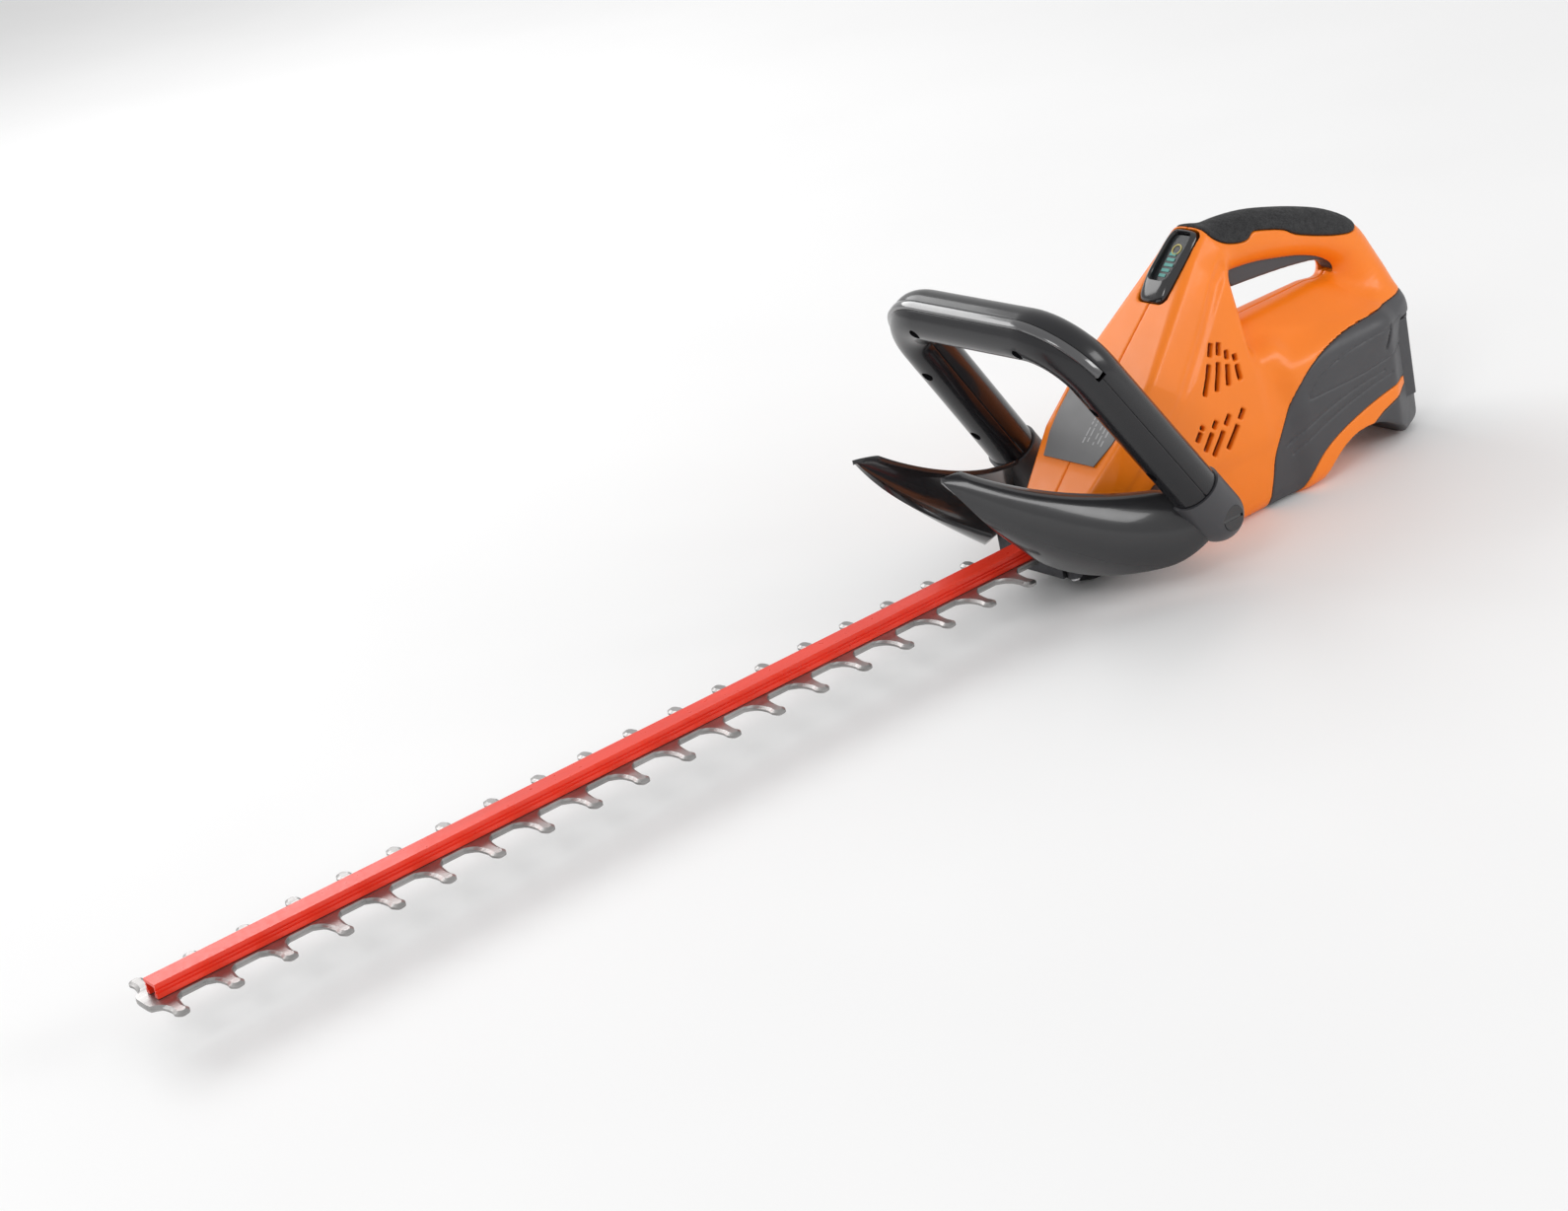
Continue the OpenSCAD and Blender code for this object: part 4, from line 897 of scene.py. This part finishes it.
def build_teeth():
    """The blades' teeth, each ground to a thin edge on the side away from the other blade."""
    reach_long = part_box("upper_teeth")[1][1] / MM
    blades = (("teeth_upper", "upper_teeth", "upper_blade"), ("teeth_lower", "lower_teeth", "lower_blade"))
    for name, node, body in blades:
        low, high = (corner[2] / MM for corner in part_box(node))
        if name == "teeth_upper":
            levels = ((low, False), (low + LAND, False), (high, True))
        else:
            levels = ((low, True), (high - LAND, False), (high, False))
        points, faces = [], []
        for i in range(TOOTH_COUNT):
            full, ground = tooth_rings(SHORT_REACH if i < SHORT_TEETH else reach_long)
            n = len(full)
            for side in (1, -1):
                base = len(points)
                for z, is_ground in levels:
                    ring = ground if is_ground else full
                    points += [(FIRST_TOOTH - i * TOOTH_PITCH + x, side * y, z) for x, y in ring]
                for r in range(len(levels) - 1):
                    a = base + r * n
                    faces += [(a + k, a + (k + 1) % n, a + n + (k + 1) % n, a + n + k) for k in range(n)]
                faces.append(tuple(base + k for k in reversed(range(n))))
                faces.append(tuple(base + 2 * n + k for k in range(n)))
        make_object(name, points, faces, "ground_steel", body, [node], smooth=False)


# ---------------------------------------------------------------- guard

WING_TOP = [(144, 46, 131), (95, 62, 98), (25, 58, 62), (-30, 90, 60)]
WING_WAIST = [(107, 62, 78), (85, 72, 58), (20, 82, 40), (-30, 101, 42)]
WING_FOOT = [(63, 18, 48), (62, 44, 30), (15, 75, 15), (-33, 95, 25)]
WING_T = 3.0
CORNER_RISE, CORNER_FROM = 11.0, 0.78
LIP_LOW, LIP_GAIN = 0.58, 0.5         # the lip is lower at the back than at the tip
LIP = [(9.5, 8.8), (7.0, 8.7), (4.6, 7.6), (2.6, 5.6), (1.2, 3.0)]


def bezier(points, t):
    p = [np.array(q, float) for q in points]
    return (1 - t) ** 3 * p[0] + 3 * t * (1 - t) ** 2 * p[1] + 3 * t * t * (1 - t) * p[2] + t ** 3 * p[3]


def wing_point(s, t):
    return ((1 - t) ** 2 * bezier(WING_TOP, s) + 2 * t * (1 - t) * bezier(WING_WAIST, s)
            + t * t * bezier(WING_FOOT, s))


def wing_sheet(s, t):
    """The wing with its rear lower corner swept up into the handle's foot."""
    sweep = max(0.0, (s - CORNER_FROM) / (1 - CORNER_FROM))
    return wing_point(s, t) + np.array([0, 0, CORNER_RISE * sweep * sweep * t * t])


def wing_inward(s):
    """The horizontal direction from the wing's top edge towards the tool's middle."""
    along = bezier(WING_TOP, min(s + 0.01, 1)) - bezier(WING_TOP, max(s - 0.01, 0))
    across = np.array([along[1], -along[0], 0.0])
    across /= np.linalg.norm(across)
    return across if across[1] < 0 else -across


def build_guard():
    n, m = 56, 30
    rows = []
    for i in range(n + 1):
        s = i / n
        size = min(1.0, 9 * s + 0.03) * min(1.0, 6 * (1 - s) + 0.15)
        inward = wing_inward(s)
        top = wing_point(s, 0)
        lift = size * (LIP_LOW + LIP_GAIN * (1 - s) ** 3)
        row = [top + inward * across * size + np.array([0, 0, up * lift]) for across, up in LIP]
        row += [wing_sheet(s, j / m) for j in range(m + 1)]
        rows.append(row)
    for side, name in ((1, "left"), (-1, "right")):
        points = [p * np.array([1, side, 1]) for row in rows for p in row]
        w = len(rows[0])
        faces = [(i * w + j, (i + 1) * w + j, (i + 1) * w + j + 1, i * w + j + 1)
                 for i in range(n) for j in range(w - 1)]
        wing = make_object(f"guard_wing_{name}", points, faces, "gloss_black", "body",
                           ["guard"] if side > 0 else (), "guard_plastic")
        solid = wing.modifiers.new("thickness", "SOLIDIFY")
        solid.thickness = WING_T * MM
        solid.offset = side * 1.0
        solid.use_even_offset = True
        add_bevel(wing, 1.0, 3)


# ---------------------------------------------------------------- front handle

HOOP_LEAN = math.radians(31.5)
FOOT_Y = 93.0
CORNER_Y = 84.0
HOOP_RISE = 183.0
HOOP_R = 17.3
HOOP_BEND = 36.0
HOOP_START = 28.3
SPLAY = math.degrees(math.atan((FOOT_Y - CORNER_Y) / HOOP_RISE))
BAR_HALF = CORNER_Y - HOOP_BEND * math.tan(math.radians((90 - SPLAY) / 2))
PART_A = 4.5
TUBE_WALL = 3


def hoop_point(forward, station, outward):
    """A point of the hoop: forward of its plane, at a station, and out of its centre line."""
    y = station[0] + outward * math.cos(math.radians(station[2]))
    up = station[1] + outward * math.sin(math.radians(station[2]))
    c, s = math.cos(HOOP_LEAN), math.sin(HOOP_LEAN)
    return (FOOT_XZ[0] + forward * c + up * s, y, FOOT_XZ[1] - forward * s + up * c)


def bend_station(a):
    side = -1 if a > 90 else 1
    return (side * BAR_HALF + HOOP_BEND * math.cos(math.radians(a)),
            HOOP_RISE - HOOP_BEND + HOOP_BEND * math.sin(math.radians(a)), a)


def arm_station(side, along):
    lean = math.radians(SPLAY)
    angle = SPLAY if side > 0 else 180 - SPLAY
    return side * (FOOT_Y - along * math.sin(lean)), along * math.cos(lean), angle


def hoop_stations(turn=None, steps=26):
    if turn is None:
        corner = [bend_station(SPLAY + (90 - SPLAY) * k / steps) for k in range(steps + 1)]
        half = [arm_station(1, HOOP_START)] + corner
    else:
        half = [bend_station(90 - turn + turn * k / steps) for k in range(steps + 1)]
    return half + [(-y, up, 180 - a) for y, up, a in reversed(half)]


def sweep_object(name, section, stations, *rest, **words):
    m, n = len(section), len(stations)
    points = [hoop_point(f, st, o) for st in stations for f, o in section]
    faces = [(i * m + j, i * m + (j + 1) % m, (i + 1) * m + (j + 1) % m, (i + 1) * m + j)
             for i in range(n - 1) for j in range(m)]
    faces += [tuple(range(m)), tuple((n - 1) * m + j for j in reversed(range(m)))]
    piece = make_object(name, points, faces, *rest, **words)
    piece.data.set_sharp_from_angle(angle=math.radians(32))
    return piece


CHANNEL_BACK, CHANNEL_FRONT, CHANNEL_DEEP = 1.2, 8.0, 8.0
CHANNEL_TURN, BAR_TURN = 82, 78
BAR_BACK, BAR_FRONT, BAR_DEEP = 1.5, 7.7, 7


def shell_section(front):
    """One shell's section: an arc with its part-line edges eased, and a flat inside."""
    edge = PART_A + (PARTING if front else -PARTING)
    end = math.acos(edge / HOOP_R)
    inner = math.acos(edge / (HOOP_R - TUBE_WALL))
    ease = math.radians(2.2)
    steps = 30 if front else 48
    start, stop = (-end, end) if front else (end, 2 * math.pi - end)
    arc = np.linspace(start + ease, stop - ease, steps)
    outer = [(HOOP_R * math.cos(a), HOOP_R * math.sin(a)) for a in arc]
    tuck = 0.45
    first = ((HOOP_R - tuck) * math.cos(start), (HOOP_R - tuck) * math.sin(start))
    last = ((HOOP_R - tuck) * math.cos(stop), (HOOP_R - tuck) * math.sin(stop))
    b0, b1 = (inner, -inner) if front else (2 * math.pi - inner, inner)
    bore = HOOP_R - TUBE_WALL
    within = [(bore * math.cos(a), bore * math.sin(a)) for a in np.linspace(b0, b1, 16)]
    return [first] + outer + [last] + within


HOOP_SCREWS = [(52, 183), (84, 130), (89, 62)]
WELL_R, WELL_DEEP = 4.2, 4.4


def cutter(name, points, faces):
    mesh = bpy.data.meshes.new(name)
    mesh.from_pydata([tuple(p) for p in np.asarray(points) * MM], [], faces)
    piece = bpy.data.objects.new(name, mesh)
    bpy.context.scene.collection.objects.link(piece)
    fix = bmesh.new()
    fix.from_mesh(mesh)
    bmesh.ops.recalc_face_normals(fix, faces=fix.faces)
    fix.to_mesh(mesh)
    fix.free()
    return piece


def cut_with(piece, tool):
    boolean = piece.modifiers.new("cut", "BOOLEAN")
    boolean.operation = "DIFFERENCE"
    boolean.solver = "EXACT"
    boolean.object = tool
    bake_modifiers(piece)
    bpy.data.objects.remove(tool)


def channel_cutter():
    section = [(CHANNEL_BACK, HOOP_R - CHANNEL_DEEP), (CHANNEL_FRONT, HOOP_R - CHANNEL_DEEP),
               (CHANNEL_FRONT, HOOP_R + 4), (CHANNEL_BACK, HOOP_R + 4)]
    stations = hoop_stations(CHANNEL_TURN, 24)
    m, n = 4, len(stations)
    points = [hoop_point(f, st, o) for st in stations for f, o in section]
    faces = [(i * m + j, i * m + (j + 1) % m, (i + 1) * m + (j + 1) % m, (i + 1) * m + j)
             for i in range(n - 1) for j in range(m)]
    faces += [tuple(range(m)), tuple((n - 1) * m + j for j in reversed(range(m)))]
    return cutter("channel_cutter", points, faces)


def screw_cutter():
    sides = 24
    points, faces = [], []
    for side in (-1, 1):
        for y, up in HOOP_SCREWS:
            base = len(points)
            for forward in (HOOP_R - WELL_DEEP, HOOP_R + 5):
                for k in range(sides):
                    a = 2 * math.pi * k / sides
                    station = (side * y + WELL_R * math.cos(a), up + WELL_R * math.sin(a), 0)
                    points.append(hoop_point(forward, station, 0))
            faces += [(base + k, base + (k + 1) % sides, base + sides + (k + 1) % sides, base + sides + k)
                      for k in range(sides)]
            faces.append(tuple(base + k for k in reversed(range(sides))))
            faces.append(tuple(base + sides + k for k in range(sides)))
    return cutter("screw_cutter", points, faces)


def build_hoop():
    rear = sweep_object("handle_rear_half", shell_section(False), hoop_stations(), "grey_panel", "body",
                        ["hoop_rear_shell"], material="hoop_plastic")
    front = sweep_object("handle_front_half", shell_section(True), hoop_stations(), "grey_panel", "body",
                         ["hoop_front_shell"], material="hoop_plastic")
    cut_with(rear, channel_cutter())
    cut_with(front, channel_cutter())
    cut_with(front, screw_cutter())
    for shell in (rear, front):
        shell.data.set_sharp_from_angle(angle=math.radians(32))
    back, fore, top = BAR_BACK, BAR_FRONT, HOOP_R
    section = [(back, top - BAR_DEEP), (fore, top - BAR_DEEP), (fore, top - 0.2), (fore - 0.35, top + 0.4),
               (fore - 1.2, top + 0.8), ((back + fore) / 2, top + 0.9), (back + 1.2, top + 0.8),
               (back + 0.35, top + 0.4), (back, top - 0.2)]
    sweep_object("switch_strip", section, hoop_stations(BAR_TURN, 24), "switch_strip", "switch_bar",
                 ["switch_bar"])


# ---------------------------------------------------------------- the whole tool

add_camera()
add_studio()
dress_cad_nodes()
build_housing()
build_display()
build_label_lines()
build_teeth()
build_guard()
build_hoop()
